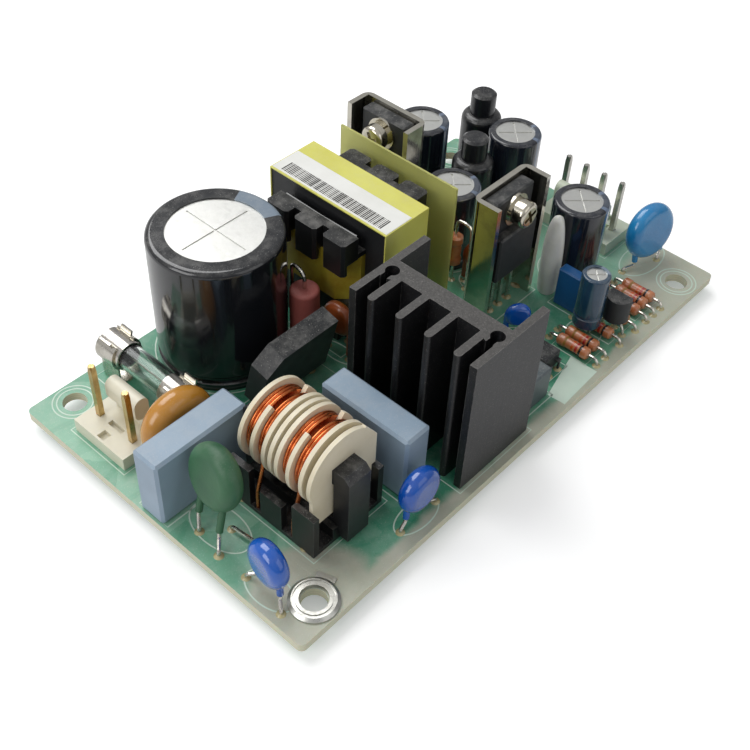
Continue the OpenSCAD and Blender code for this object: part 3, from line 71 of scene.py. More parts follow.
class Wiring:
    """A node tree that is being wired, with short calls for what the finishes use."""

    def __init__(self, tree: bpy.types.NodeTree) -> None:
        """Keeps the tree.

        Args:
            tree: the shader tree or shader group to add nodes to.
        """
        self.tree = tree

    def node(self, kind: str, settings: dict | None = None, **inputs: object) -> bpy.types.Node:
        """Adds a node.

        Args:
            kind: the node's Blender type.
            settings: attributes of the node itself.
            **inputs: values or sockets, by input name, with _ for a space.

        Returns:
            The new node.
        """
        made = self.tree.nodes.new(kind)
        for key, value in (settings or {}).items():
            setattr(made, key, value)
        for key, value in inputs.items():
            self.feed(made.inputs[key.replace("_", " ")], value)
        return made

    def feed(self, socket: bpy.types.NodeSocket, value: object) -> None:
        """Links a socket into an input, or sets the input's value."""
        if isinstance(value, bpy.types.NodeSocket):
            self.tree.links.new(value, socket)
        elif isinstance(value, (tuple, list)) and socket.type == "RGBA" and len(value) == 3:
            socket.default_value = (*value, 1.0)
        else:
            socket.default_value = value

    def math(self, operation: str, *values: object, clamp: bool = False) -> bpy.types.NodeSocket:
        """A Math node's result."""
        made = self.node("ShaderNodeMath", {"operation": operation, "use_clamp": clamp})
        for socket, value in zip(made.inputs, values):
            self.feed(socket, value)
        return made.outputs[0]

    def vector(self, operation: str, *values: object, out: str = "Vector") -> bpy.types.NodeSocket:
        """A Vector Math node's result."""
        made = self.node("ShaderNodeVectorMath", {"operation": operation})
        for socket, value in zip(made.inputs, values):
            self.feed(socket, value)
        return made.outputs[out]

    def mix(self, share: object, first: object, second: object, blend: str = "MIX") -> bpy.types.NodeSocket:
        """Two colours mixed by a share."""
        made = self.node("ShaderNodeMix", {"data_type": "RGBA", "blend_type": blend})
        self.feed(made.inputs[0], share)
        self.feed(made.inputs[6], first)
        self.feed(made.inputs[7], second)
        return made.outputs[2]

    def between(self, value: object, low: float, high: float, soft: float) -> bpy.types.NodeSocket:
        """A mask that is 1 between two limits and falls off softly outside them."""
        rise = self.node("ShaderNodeMapRange", {"interpolation_type": "SMOOTHSTEP"},
                         Value=value, From_Min=low - soft, From_Max=low + soft)
        fall = self.node("ShaderNodeMapRange", {"interpolation_type": "SMOOTHSTEP"},
                         Value=value, From_Min=high + soft, From_Max=high - soft)
        return self.math("MULTIPLY", rise.outputs[0], fall.outputs[0])

    def ramp(self, value: object, low: float, high: float) -> bpy.types.NodeSocket:
        """A value spread smoothly over 0 to 1 between two limits."""
        return self.node("ShaderNodeMapRange", {"interpolation_type": "SMOOTHSTEP"},
                         Value=value, From_Min=low, From_Max=high).outputs[0]

    def place(self) -> bpy.types.NodeSocket:
        """The point in the frame, in metres."""
        return self.node("ShaderNodeTexCoord").outputs["Object"]

    def axes(self, vector: object) -> Sequence[bpy.types.NodeSocket]:
        """The X, Y and Z of a vector."""
        return self.node("ShaderNodeSeparateXYZ", Vector=vector).outputs

    def noise(self, vector: object, scale: object, detail: float = 3.0, rough: float = 0.5) -> bpy.types.NodeSocket:
        """A noise value."""
        return self.node("ShaderNodeTexNoise", Vector=vector, Scale=scale, Detail=detail,
                         Roughness=rough).outputs[0]

    def stretched(self, vector: object, scale: Sequence[float]) -> bpy.types.NodeSocket:
        """A point with each axis scaled, so that a pattern runs along one of them."""
        return self.node("ShaderNodeMapping", Vector=vector, Scale=scale).outputs[0]

    def group(self, tree: bpy.types.NodeTree, **inputs: object) -> bpy.types.Node:
        """Places a shared group."""
        made = self.node("ShaderNodeGroup", {"node_tree": tree})
        for key, value in inputs.items():
            self.feed(made.inputs[key.replace("_", " ")], value)
        return made


class Shared(Enum):
    """The effects that several finishes share, each one a node group."""

    MOTTLE = "mottled_colour"
    GRAIN = "moulded_grain"
    # edges: partly worn, partly painted glint
    GLINT_AND_WEAR = "edge_glint_and_wear"
    DUST = "settled_dust"
    DRAWN = "drawn_lines"
    STRIPE = "sleeve_stripe"


def new_group(name: str, inputs: dict[str, tuple[str, object]], outputs: dict[str, str]) -> bpy.types.NodeTree:
    """Makes an empty shader group with named sockets.

    Args:
        name: the group's name.
        inputs: socket type and default by input name.
        outputs: socket type by output name.

    Returns:
        The group, with its input and output nodes in it.
    """
    tree = bpy.data.node_groups.new(name, "ShaderNodeTree")
    for key, (kind, default) in inputs.items():
        made = tree.interface.new_socket(key, in_out="INPUT", socket_type=kind)
        if default is not None:
            made.default_value = default
    for key, kind in outputs.items():
        tree.interface.new_socket(key, in_out="OUTPUT", socket_type=kind)
    tree.nodes.new("NodeGroupInput")
    tree.nodes.new("NodeGroupOutput")
    return tree


def ends_of(tree: bpy.types.NodeTree) -> tuple[Sequence, Sequence]:
    """The sockets that a group's own nodes read and feed."""
    given = next(n for n in tree.nodes if n.bl_idname == "NodeGroupInput")
    taken = next(n for n in tree.nodes if n.bl_idname == "NodeGroupOutput")
    return given.outputs, taken.inputs


class Effects:
    """Builds each shared effect once."""

    def __init__(self) -> None:
        """Builds all the groups."""
        self.trees = {
            Shared.MOTTLE: self._mottle(),
            Shared.GRAIN: self._grain(),
            Shared.GLINT_AND_WEAR: self._glint_and_wear(),
            Shared.DUST: self._dust(),
            Shared.DRAWN: self._drawn(),
            Shared.STRIPE: self._stripe(),
        }

    def __getitem__(self, name: Shared) -> bpy.types.NodeTree:
        """The group of an effect."""
        return self.trees[name]

    def _mottle(self) -> bpy.types.NodeTree:
        """Two colours that drift into each other in soft patches."""
        tree = new_group(Shared.MOTTLE.value, {
            "Vector": ("NodeSocketVector", None), "Scale": ("NodeSocketFloat", 150.0),
            "Spread": ("NodeSocketFloat", 0.25), "First": ("NodeSocketColor", None),
            "Second": ("NodeSocketColor", None)}, {"Colour": "NodeSocketColor"})
        w = Wiring(tree)
        given, taken = ends_of(tree)
        coarse = w.noise(given["Vector"], given["Scale"], 4.0, 0.6)
        low = w.math("SUBTRACT", 0.5, given["Spread"])
        high = w.math("ADD", 0.5, given["Spread"])
        share = w.node("ShaderNodeMapRange", Value=coarse, From_Min=low, From_Max=high).outputs[0]
        w.feed(taken["Colour"], w.mix(share, given["First"], given["Second"]))
        return tree

    def _grain(self) -> bpy.types.NodeTree:
        """The fine unevenness of a moulded or dipped surface, as a height and a roughness change."""
        tree = new_group(Shared.GRAIN.value, {
            "Vector": ("NodeSocketVector", None), "Scale": ("NodeSocketFloat", 1500.0),
            "Waviness": ("NodeSocketFloat", 0.3)}, {"Height": "NodeSocketFloat", "Change": "NodeSocketFloat"})
        w = Wiring(tree)
        given, taken = ends_of(tree)
        fine = w.noise(given["Vector"], given["Scale"], 3.0)
        wide = w.noise(given["Vector"], w.math("MULTIPLY", given["Scale"], 0.08), 2.0)
        wave = w.math("MULTIPLY", wide, given["Waviness"])
        w.feed(taken["Height"], w.math("ADD", w.math("MULTIPLY", fine, 0.25), wave))
        w.feed(taken["Change"], w.math("SUBTRACT", wide, 0.5))
        return tree

    def _glint_and_wear(self) -> bpy.types.NodeTree:
        """A broken mask along sharp edges, for worn edges and painted edge glint."""
        tree = new_group(Shared.GLINT_AND_WEAR.value, {
            "Vector": ("NodeSocketVector", None), "Width": ("NodeSocketFloat", 0.0002),
            "Amount": ("NodeSocketFloat", 0.5)}, {"Mask": "NodeSocketFloat"})
        w = Wiring(tree)
        given, taken = ends_of(tree)
        soft = w.node("ShaderNodeBevel", {"samples": 4}, Radius=given["Width"]).outputs[0]
        flat = w.node("ShaderNodeNewGeometry").outputs["Normal"]
        turn = w.math("SUBTRACT", 1.0, w.vector("DOT_PRODUCT", soft, flat, out="Value"))
        edge = w.ramp(turn, 0.02, 0.2)
        broken = w.ramp(w.noise(given["Vector"], 900.0, 4.0), 0.35, 0.62)
        w.feed(taken["Mask"], w.math("MULTIPLY", w.math("MULTIPLY", edge, broken), given["Amount"], clamp=True))
        return tree

    def _dust(self) -> bpy.types.NodeTree:
        """A thin patchy dust on faces that look up."""
        tree = new_group(Shared.DUST.value, {
            "Vector": ("NodeSocketVector", None), "Amount": ("NodeSocketFloat", 0.15)},
            {"Mask": "NodeSocketFloat"})
        w = Wiring(tree)
        given, taken = ends_of(tree)
        up = w.axes(w.node("ShaderNodeNewGeometry").outputs["Normal"])[2]
        patch = w.ramp(w.noise(given["Vector"], 350.0, 5.0, 0.7), 0.4, 0.75)
        specks = w.ramp(w.noise(given["Vector"], 5200.0, 1.0), 0.66, 0.72)
        both = w.math("MAXIMUM", w.math("MULTIPLY", patch, 0.6), specks)
        w.feed(taken["Mask"], w.math("MULTIPLY", w.math("MULTIPLY", both, w.ramp(up, 0.3, 0.9)),
                                     given["Amount"], clamp=True))
        return tree

    def _drawn(self) -> bpy.types.NodeTree:
        """Fine lines along one direction, as on drawn, rolled or extruded metal."""
        tree = new_group(Shared.DRAWN.value, {
            "Vector": ("NodeSocketVector", None), "Scale": ("NodeSocketVector", (4000.0, 4000.0, 60.0))},
            {"Lines": "NodeSocketFloat", "Scratches": "NodeSocketFloat"})
        w = Wiring(tree)
        given, taken = ends_of(tree)
        long = w.vector("MULTIPLY", given["Vector"], given["Scale"])
        w.feed(taken["Lines"], w.noise(long, 1.0, 3.0, 0.6))
        turned = w.node("ShaderNodeMapping", Vector=given["Vector"], Rotation=(0.3, 0.5, 0.8),
                        Scale=(2600.0, 90.0, 700.0)).outputs[0]
        w.feed(taken["Scratches"], w.ramp(w.noise(turned, 1.0, 2.0), 0.66, 0.74))
        return tree

    def _stripe(self) -> bpy.types.NodeTree:
        """The stripe that runs down one side of a capacitor's sleeve."""
        tree = new_group(Shared.STRIPE.value, {
            "Vector": ("NodeSocketVector", None), "Centre": ("NodeSocketVector", (0.0, 0.0, 0.0)),
            "Side": ("NodeSocketVector", (1.0, 0.0, 0.0)), "Reach": ("NodeSocketFloat", 0.006),
            "Opening": ("NodeSocketFloat", 0.8)}, {"Mask": "NodeSocketFloat", "Across": "NodeSocketFloat"})
        w = Wiring(tree)
        given, taken = ends_of(tree)
        flat = w.vector("MULTIPLY", w.vector("SUBTRACT", given["Vector"], given["Centre"]), (1.0, 1.0, 0.0))
        near = w.math("LESS_THAN", w.vector("LENGTH", flat, out="Value"), given["Reach"])
        aim = w.vector("DOT_PRODUCT", w.vector("NORMALIZE", flat), given["Side"], out="Value")
        inside = w.node("ShaderNodeMapRange", Value=aim, From_Min=given["Opening"],
                        From_Max=w.math("ADD", given["Opening"], 0.006)).outputs[0]
        w.feed(taken["Mask"], w.math("MULTIPLY", near, inside))
        w.feed(taken["Across"], aim)
        return tree


EFFECTS = Effects()


# ---------------------------------------------------------------- finishes


def new_material(name: str) -> tuple[bpy.types.Material, Wiring, bpy.types.Node]:
    """Starts a material.

    Args:
        name: the material's name.

    Returns:
        The material, its wiring and its Principled shader, which is already linked to the output.
    """
    made = bpy.data.materials.new(name)
    made.use_nodes = True
    w = Wiring(made.node_tree)
    made.node_tree.nodes.clear()
    shader = w.node("ShaderNodeBsdfPrincipled")
    out = w.node("ShaderNodeOutputMaterial")
    w.feed(out.inputs["Surface"], shader.outputs[0])
    return made, w, shader


def bump(w: Wiring, height: object, distance: float, strength: float = 1.0,
         under: object = None) -> bpy.types.NodeSocket:
    """A Bump node's normal."""
    made = w.node("ShaderNodeBump", Height=height, Distance=distance, Strength=strength)
    if under is not None:
        w.feed(made.inputs["Normal"], under)
    return made.outputs[0]


@dataclass(frozen=True)
class Moulded:
    """A plastic, epoxy, ferrite or rubber surface.

    Attributes:
        name: the material's name.
        base: its main colour.
        second: the colour that it drifts toward.
        edge: the colour of the edges, partly worn and partly painted glint.
        rough: its roughness.
        coat: the weight of a glossy coat.
        patch: patches per metre of the colour's drift.
        grain: grains per metre of its fine unevenness.
        relief: height of that unevenness, in metres.
        wave: share of broad waviness in it.
        glint_and_wear: how much the edge colour shows, as worn edges and painted glint.
        dust: how much dust lies on top.
        through: share of light that passes into it.
    """

    name: str
    base: Colour
    second: Colour
    edge: Colour = (0.5, 0.5, 0.5)
    rough: float = 0.4
    coat: float = 0.0
    patch: float = 160.0
    grain: float = 2200.0
    relief: float = 0.00004
    wave: float = 0.3
    glint_and_wear: float = 0.25
    dust: float = 0.12
    through: float = 0.0

    def build(self) -> bpy.types.Material:
        """Builds the material."""
        made, w, shader = new_material(self.name)
        self.dress(w, shader, self.base, self.second)
        return made

    def dress(self, w: Wiring, shader: bpy.types.Node, first: object, second: object,
              over: Callable | None = None) -> None:
        """Feeds the shader.

        Args:
            w: the material's wiring.
            shader: its Principled shader.
            first: the main colour, or a socket that gives it.
            second: the colour it drifts toward, or a socket.
            over: an optional last step on the colour, before dust.
        """
        place = w.place()
        colour = w.group(EFFECTS[Shared.MOTTLE], Vector=place, Scale=self.patch, First=first,
                         Second=second).outputs["Colour"]
        # the edge colour: worn edges and painted edge glint
        glint_and_wear = w.group(EFFECTS[Shared.GLINT_AND_WEAR], Vector=place, Amount=self.glint_and_wear).outputs["Mask"]
        colour = w.mix(glint_and_wear, colour, self.edge)
        if over is not None:
            colour = over(w, place, colour)
        dust = w.group(EFFECTS[Shared.DUST], Vector=place, Amount=self.dust).outputs["Mask"]
        w.feed(shader.inputs["Base Color"], w.mix(dust, colour, (0.62, 0.6, 0.56)))
        grain = w.group(EFFECTS[Shared.GRAIN], Vector=place, Scale=self.grain, Waviness=self.wave)
        rough = w.math("MULTIPLY_ADD", grain.outputs["Change"], 0.25, self.rough)
        w.feed(shader.inputs["Roughness"], w.math("MULTIPLY_ADD", dust, 0.3, rough, clamp=True))
        w.feed(shader.inputs["Normal"], bump(w, grain.outputs["Height"], self.relief))
        shader.inputs["Coat Weight"].default_value = self.coat
        shader.inputs["Coat Roughness"].default_value = 0.06
        if self.through:
            shader.inputs["Subsurface Weight"].default_value = self.through
            shader.inputs["Subsurface Scale"].default_value = 0.0008
            shader.inputs["Subsurface Radius"].default_value = (1.0, 0.9, 0.6)


@dataclass(frozen=True)
class Metal:
    """A metal surface.

    Attributes:
        name: the material's name.
        base: its colour.
        stain: the colour of its duller patches.
        rough: its roughness.
        lines: lines per metre along each axis of its drawn texture.
        relief: height of those lines, in metres.
        stained: how far the duller patches show.
    """

    name: str
    base: Colour
    stain: Colour
    rough: float = 0.25
    lines: tuple[float, float, float] = (5000.0, 5000.0, 120.0)
    relief: float = 0.00001
    stained: float = 0.5

    def build(self) -> bpy.types.Material:
        """Builds the material."""
        made, w, shader = new_material(self.name)
        self.dress(w, shader)
        return made

    def dress(self, w: Wiring, shader: bpy.types.Node, over: Callable | None = None) -> None:
        """Feeds the shader; over is an optional last step on the colour."""
        place = w.place()
        patch = w.math("MULTIPLY", w.ramp(w.noise(place, 420.0, 5.0, 0.65), 0.42, 0.72), self.stained)
        drawn = w.group(EFFECTS[Shared.DRAWN], Vector=place, Scale=self.lines)
        colour = w.mix(patch, self.base, self.stain)
        colour = w.mix(w.math("MULTIPLY", drawn.outputs["Scratches"], 0.25), colour, self.stain)
        if over is not None:
            colour = over(w, place, colour)
        w.feed(shader.inputs["Base Color"], colour)
        shader.inputs["Metallic"].default_value = 1.0
        spread = w.math("MULTIPLY_ADD", patch, 0.25, self.rough)
        w.feed(shader.inputs["Roughness"], w.math("MULTIPLY_ADD", w.math("SUBTRACT", drawn.outputs["Lines"], 0.5),
                                                  0.2, spread, clamp=True))
        w.feed(shader.inputs["Normal"], bump(w, drawn.outputs["Lines"], self.relief))


def ring_centre() -> Vector:
    """The middle of the ground ring's hole; its tab makes its box longer toward +X only."""
    low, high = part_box("ground_ring")
    reach = (high.y - low.y) / 2
    return Vector((low.x + reach, low.y + reach, 0))


def islands(node: str) -> list[tuple[Vector, Vector]]:
    """The boxes of a node's separate solids.

    Args:
        node: the construction node.

    Returns:
        The lowest and highest corner of each solid, ordered by X and then Y.
    """
    work = bmesh.new()
    work.from_mesh(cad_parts[node].data)
    bmesh.ops.remove_doubles(work, verts=work.verts, dist=1e-6)
    left = set(work.verts)
    boxes = []
    while left:
        wave = [left.pop()]
        low, high = Vector(wave[0].co), Vector(wave[0].co)
        while wave:
            vert = wave.pop()
            low = Vector(map(min, low, vert.co))
            high = Vector(map(max, high, vert.co))
            for edge in vert.link_edges:
                other = edge.other_vert(vert)
                if other in left:
                    left.remove(other)
                    wave.append(other)
        boxes.append((low, high))
    work.free()
    return sorted(boxes, key=lambda b: (round(b[0].x, 5), round(b[0].y, 5)))


@dataclass(frozen=True)
class Laminate:
    """The circuit board: solder mask over pale laminate, with the copper below showing through.

    Attributes:
        mask: the green of the solder mask over copper.
        thin: the paler green where no copper lies below.
        bare: the laminate without mask, near the corners.
        edge: the cut edges and the walls of the holes.
        copper: the tone of the tracks below the mask on the solder side.
        cell: copper areas per metre.
        corner_reach: reach of the bare zone round a corner hole, in metres.
    """

    mask: Colour = tint(52, 138, 106)
    thin: Colour = tint(146, 190, 164)
    bare: Colour = tint(184, 180, 164)
    edge: Colour = tint(214, 212, 188)
    copper: Colour = tint(86, 160, 84)
    cell: float = 95.0
    corner_reach: float = 0.0095

    def build(self) -> bpy.types.Material:
        """Builds the material."""
        made, w, shader = new_material("board_laminate")
        place = w.place()
        x, y, _ = w.axes(place)
        facing = w.axes(w.node("ShaderNodeNewGeometry").outputs["Normal"])[2]
        cells = w.node("ShaderNodeTexVoronoi", {"distance": "CHEBYCHEV"}, Vector=place, Scale=self.cell,
                       Randomness=0.85)
        area = w.ramp(w.axes(cells.outputs["Color"])[0], 0.42, 0.5)
        lines = w.node("ShaderNodeTexVoronoi", {"feature": "DISTANCE_TO_EDGE"}, Vector=place, Scale=self.cell * 1.7,
                       Randomness=0.7)
        track = w.ramp(lines.outputs["Distance"], 0.1, 0.05)
        cloud = w.noise(place, 38.0, 4.0, 0.6)
        middle = w.between(w.math("MULTIPLY_ADD", cloud, 0.03, x), -0.03, 0.045, 0.02)
        rich = w.math("ADD", w.math("MULTIPLY", middle, 0.5), w.math("MULTIPLY", area, 0.25), clamp=True)
        rich = w.math("ADD", rich, w.math("MULTIPLY", track, 0.12), clamp=True)
        top = w.mix(w.math("ADD", rich, w.math("MULTIPLY", cloud, 0.3), clamp=True), self.thin, self.mask)
        top = w.mix(w.math("MULTIPLY", self.corners(w, place, x, y), 0.85), top, self.bare)
        low = w.mix(w.math("MAXIMUM", area, track), self.mask, self.copper)
        face = w.mix(w.math("GREATER_THAN", facing, 0.0), low, top)
        weave = w.node("ShaderNodeTexWave", {"wave_type": "BANDS", "bands_direction": "Z"}, Vector=place,
                       Scale=700.0, Distortion=3.0, Detail=2.0)
        rim = w.mix(w.math("MULTIPLY", weave.outputs["Fac"], 0.35), self.edge, tint(176, 178, 150))
        side = w.math("LESS_THAN", w.math("ABSOLUTE", facing), 0.5)
        dust = w.group(EFFECTS[Shared.DUST], Vector=place, Amount=0.25).outputs["Mask"]
        w.feed(shader.inputs["Base Color"], w.mix(dust, w.mix(side, face, rim), (0.7, 0.68, 0.62)))
        w.feed(shader.inputs["Roughness"], w.math("ADD", w.math("MULTIPLY", side, 0.3),
                                                  w.math("MULTIPLY_ADD", cloud, 0.2, 0.2)))
        height = w.math("ADD", w.math("MULTIPLY", w.math("MAXIMUM", area, track), 0.6),
                        w.math("MULTIPLY", w.noise(place, 1800.0, 2.0), 0.25))
        w.feed(shader.inputs["Normal"], bump(w, height, 0.00003))
        shader.inputs["Subsurface Weight"].default_value = 0.15
        shader.inputs["Subsurface Scale"].default_value = 0.0006
        return made

    def corners(self, w: Wiring, place: object, x: object, y: object) -> bpy.types.NodeSocket:
        """The mask of the bare zones round the two front corner holes and along the front edge."""
        ring = ring_centre()
        wobble = w.math("MULTIPLY", w.noise(place, 160.0, 3.0), 0.004)
        zones = None
        for spot in (Vector((ring.x, ring.y, 0)), Vector((-ring.x, ring.y, 0))):
            flat = w.vector("MULTIPLY", w.vector("SUBTRACT", place, tuple(spot)), (1.0, 1.0, 0.0))
            away = w.math("SUBTRACT", w.vector("LENGTH", flat, out="Value"), wobble)
            zone = w.ramp(away, self.corner_reach, self.corner_reach - 0.003)
            zones = zone if zones is None else w.math("MAXIMUM", zones, zone)
        low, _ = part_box("circuit_board")
        strip = w.ramp(w.math("SUBTRACT", y, wobble), low.y + 0.0012, low.y - 0.0005)
        return w.math("MAXIMUM", zones, strip)


@dataclass(frozen=True)
class Sleeve:
    """A printed shrink sleeve with a pale stripe down one side of each can.

    Attributes:
        name: the material's name.
        base: the sleeve's colour.
        stripe: the stripe's colour.
        side: the direction that the stripe faces.
        opening: cosine of half the stripe's angle.
        dashes: dashes per metre down the stripe.
    """

    name: str
    base: Colour
    stripe: Colour
    side: tuple[float, float, float]
    opening: float = 0.88
    dashes: float = 170.0

    def build(self, node: str) -> bpy.types.Material:
        """Builds the material for the cans that a node's sleeves cover.

        Args:
            node: the construction node of the sleeves.

        Returns:
            The material.
        """
        coat = Moulded(self.name, self.base, tuple(v * 1.5 + 0.002 for v in self.base), rough=0.16, coat=0.6,
                       glint_and_wear=0.12, dust=0.2, relief=0.00003)
        made, w, shader = new_material(self.name)
        cans = islands(node)

        def striped(wiring: Wiring, place: object, colour: object) -> bpy.types.NodeSocket:
            """Lays the stripe of each can over the sleeve's colour."""
            z = wiring.axes(place)[2]
            for low, high in cans:
                middle = (low + high) / 2
                reach = (high.x - low.x) * 0.52
                stripe = wiring.group(EFFECTS[Shared.STRIPE], Vector=place, Centre=tuple(middle), Side=self.side,
                                      Reach=reach, Opening=self.opening)
                phase = wiring.math("FRACT", wiring.math("MULTIPLY", z, self.dashes))
                inner = wiring.math("GREATER_THAN", stripe.outputs["Across"], 0.5 + self.opening / 2)
                dash = wiring.math("MULTIPLY", wiring.between(phase, 0.3, 0.62, 0.02), inner)
                shown = wiring.mix(wiring.math("MULTIPLY", dash, 0.7), self.stripe, self.base)
                colour = wiring.mix(stripe.outputs["Mask"], colour, shown)
            return colour

        coat.dress(w, shader, coat.base, coat.second, striped)
        return made


@dataclass(frozen=True)
class Banded:
    """Tan resistor lacquer with colour bands across bodies that lie along Y.

    Attributes:
        base: the lacquer.
        bands: colour, offset and half width of each band, in metres from the body's middle.
    """

    base: Colour = tint(196, 128, 84)
    bands: tuple[tuple[Colour, float, float], ...] = (
        (tint(38, 26, 24), -0.0017, 0.00022), (tint(168, 36, 28), -0.0009, 0.00022),
        (tint(196, 84, 22), -0.0001, 0.00022), (tint(150, 110, 50), 0.0014, 0.0002))

    def build(self) -> bpy.types.Material:
        """Builds the material."""
        coat = Moulded("resistor_lacquer", self.base, tint(170, 96, 58), rough=0.2, coat=0.5, patch=420.0,
                       relief=0.00003, dust=0.1)
        made, w, shader = new_material(coat.name)
        middle = sum(((a + b) / 2 for a, b in islands("resistor_bodies")[2:4]), Vector()) / 2

        def banded(wiring: Wiring, place: object, colour: object) -> bpy.types.NodeSocket:
            """Lays the bands over the lacquer."""
            _, y, z = wiring.axes(place)
            lying = wiring.math("LESS_THAN", z, middle.z + 0.0025)
            along = wiring.math("SUBTRACT", y, middle.y)
            for band, offset, half in self.bands:
                share = wiring.between(along, offset - half, offset + half, 0.00004)
                colour = wiring.mix(wiring.math("MULTIPLY", share, lying), colour, band)
            return colour

        coat.dress(w, shader, coat.base, coat.second, banded)
        return made


@dataclass(frozen=True)
class Clear:
    """Glass or a clear film.

    Attributes:
        name: the material's name.
        base: its colour.
        rough: its roughness.
        passing: share of light that goes through.
        milky: how much its cloudiness varies the roughness.
    """

    name: str
    base: Colour
    rough: float
    passing: float
    milky: float = 0.1

    def build(self) -> bpy.types.Material:
        """Builds the material."""
        made, w, shader = new_material(self.name)
        place = w.place()
        cloud = w.noise(place, 260.0, 4.0, 0.6)
        dust = w.group(EFFECTS[Shared.DUST], Vector=place, Amount=0.15).outputs["Mask"]
        tone = w.mix(w.math("MULTIPLY", cloud, 0.4), self.base, tuple(v * 0.85 for v in self.base))
        w.feed(shader.inputs["Base Color"], w.mix(dust, tone, (0.7, 0.7, 0.66)))
        w.feed(shader.inputs["Roughness"], w.math("MULTIPLY_ADD", cloud, self.milky, self.rough))
        w.feed(shader.inputs["Normal"], bump(w, w.noise(place, 500.0, 2.0), 0.00002))
        shader.inputs["Transmission Weight"].default_value = self.passing
        shader.inputs["IOR"].default_value = 1.45
        return made


@dataclass(frozen=True)
class Anodised:
    """The black heatsink: glossy in its channels and worn grey on its cut ends, with a painted grey sheen, streaked by
    drawn lines, on the far faces of its end fins.

    Attributes:
        black: the anodised surface.
        worn: the cut ends.
        outer_sheen: the painted grey sheen on the far faces of the end fins.
    """

    black: Colour = tint(20, 20, 22)
    worn: Colour = tint(84, 82, 80)
    # painted sheen: the grey on the far faces of the end fins
    outer_sheen: Colour = tint(58, 58, 59)

    def build(self) -> bpy.types.Material:
        """Builds the material."""
        made, w, shader = new_material("black_anodised")
        place = w.place()
        _, y, z = w.axes(place)
        low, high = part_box("main_heatsink")
        normal = w.axes(w.node("ShaderNodeNewGeometry").outputs["Normal"])
        upper = w.math("GREATER_THAN", normal[2], 0.7)
        near = w.math("LESS_THAN", w.math("ABSOLUTE", w.math("SUBTRACT", y, (low.y + high.y) / 2)),
                      (high.y - low.y) / 2 - 0.0002)
        # the far faces of the end fins, which get the painted sheen
        sides = w.math("MULTIPLY", w.math("GREATER_THAN", w.math("ABSOLUTE", normal[1]), 0.7),
                       w.math("SUBTRACT", 1.0, near))
        speck = w.ramp(w.noise(place, 5200.0, 2.0), 0.62, 0.72)
        drawn = w.group(EFFECTS[Shared.DRAWN], Vector=place, Scale=(5200.0, 5200.0, 90.0))
        grain = w.noise(place, 2600.0, 3.0, 0.7)
        ends = w.mix(w.ramp(grain, 0.35, 0.7), tuple(v * 0.6 for v in self.worn), self.worn)
        # the painted sheen on those faces, streaked along the drawn lines
        sheen_wall = w.mix(w.ramp(drawn.outputs["Lines"], 0.3, 0.75), tuple(v * 0.75 for v in self.outer_sheen), self.outer_sheen)
        colour = w.mix(sides, self.black, sheen_wall)
        colour = w.mix(upper, colour, ends)
        colour = w.mix(w.math("MULTIPLY", speck, 0.35), colour, tint(150, 148, 144))
        # light edges: worn metal and painted edge glint
        glint_and_wear = w.group(EFFECTS[Shared.GLINT_AND_WEAR], Vector=place, Width=0.00018, Amount=0.55).outputs["Mask"]
        w.feed(shader.inputs["Base Color"], w.mix(glint_and_wear, colour, tint(150, 148, 145)))
        shader.inputs["Metallic"].default_value = 0.0
        rough = w.math("MULTIPLY_ADD", w.math("MAXIMUM", sides, upper), 0.08, 0.34)
        w.feed(shader.inputs["Roughness"], w.math("MULTIPLY_ADD", grain, 0.15, rough))
        height = w.math("ADD", w.math("MULTIPLY", grain, upper), w.math("MULTIPLY", drawn.outputs["Lines"], 0.5))
        w.feed(shader.inputs["Normal"], bump(w, height, 0.00002))
        return made


# ---------------------------------------------------------------- building


def mesh_piece(name: str, work: bmesh.types.BMesh, material: bpy.types.Material,
               smooth: float | None = None) -> bpy.types.Object:
    """Turns a bmesh into a piece that rides on the one body.

    Args:
        name: the piece's name.
        work: its shape, in metres, in the frame; it is freed.
        material: its material.
        smooth: the angle in radians under which edges look smooth, if any.

    Returns:
        The piece.
    """
    bmesh.ops.remove_doubles(work, verts=work.verts, dist=1e-7)
    bmesh.ops.recalc_face_normals(work, faces=work.faces)
    if smooth is not None:
        for face in work.faces:
            face.smooth = True
        for edge in work.edges:
            edge.smooth = len(edge.link_faces) == 2 and edge.calc_face_angle(math.pi) < smooth
    made = bpy.data.objects.new(name, bpy.data.meshes.new(name))
    work.to_mesh(made.data)
    work.free()
    bpy.context.collection.objects.link(made)
    made.data.materials.append(material)
    settle(made)
    return made


def settle(piece: bpy.types.Object) -> None:
    """Rides a piece on the one body."""
    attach(piece, "root")
    LOG.info("made %s with %d faces", piece.name, len(piece.data.polygons))


def dress(material: bpy.types.Material, *nodes: str) -> None:
    """Gives construction nodes a material."""
    for node in nodes:
        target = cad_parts[node]
        for slot in target.material_slots:
            slot.material = material
        LOG.info("dressed %s in %s", node, material.name)


def add_tube(work: bmesh.types.BMesh, path: Sequence[Vector], radius: float, sides: int = 12) -> None:
    """Adds a closed round tube along a path.

    Args:
        work: the shape to add to.
        path: its middle line.
        radius: its radius.
        sides: its number of sides.
    """
    rings = []
    along = (path[1] - path[0]).normalized()
    across = along.orthogonal().normalized()
    for i, point in enumerate(path):
        ahead = (path[min(i + 1, len(path) - 1)] - path[max(i - 1, 0)]).normalized()
        across = (across - ahead * across.dot(ahead)).normalized()
        other = ahead.cross(across)
        rings.append([work.verts.new(point + radius * (math.cos(a) * across + math.sin(a) * other))
                      for a in (math.tau * k / sides for k in range(sides))])
    for a, b in zip(rings, rings[1:]):
        for k in range(sides):
            work.faces.new((a[k], a[(k + 1) % sides], b[(k + 1) % sides], b[k]))
    work.faces.new(rings[0][::-1])
    work.faces.new(rings[-1])


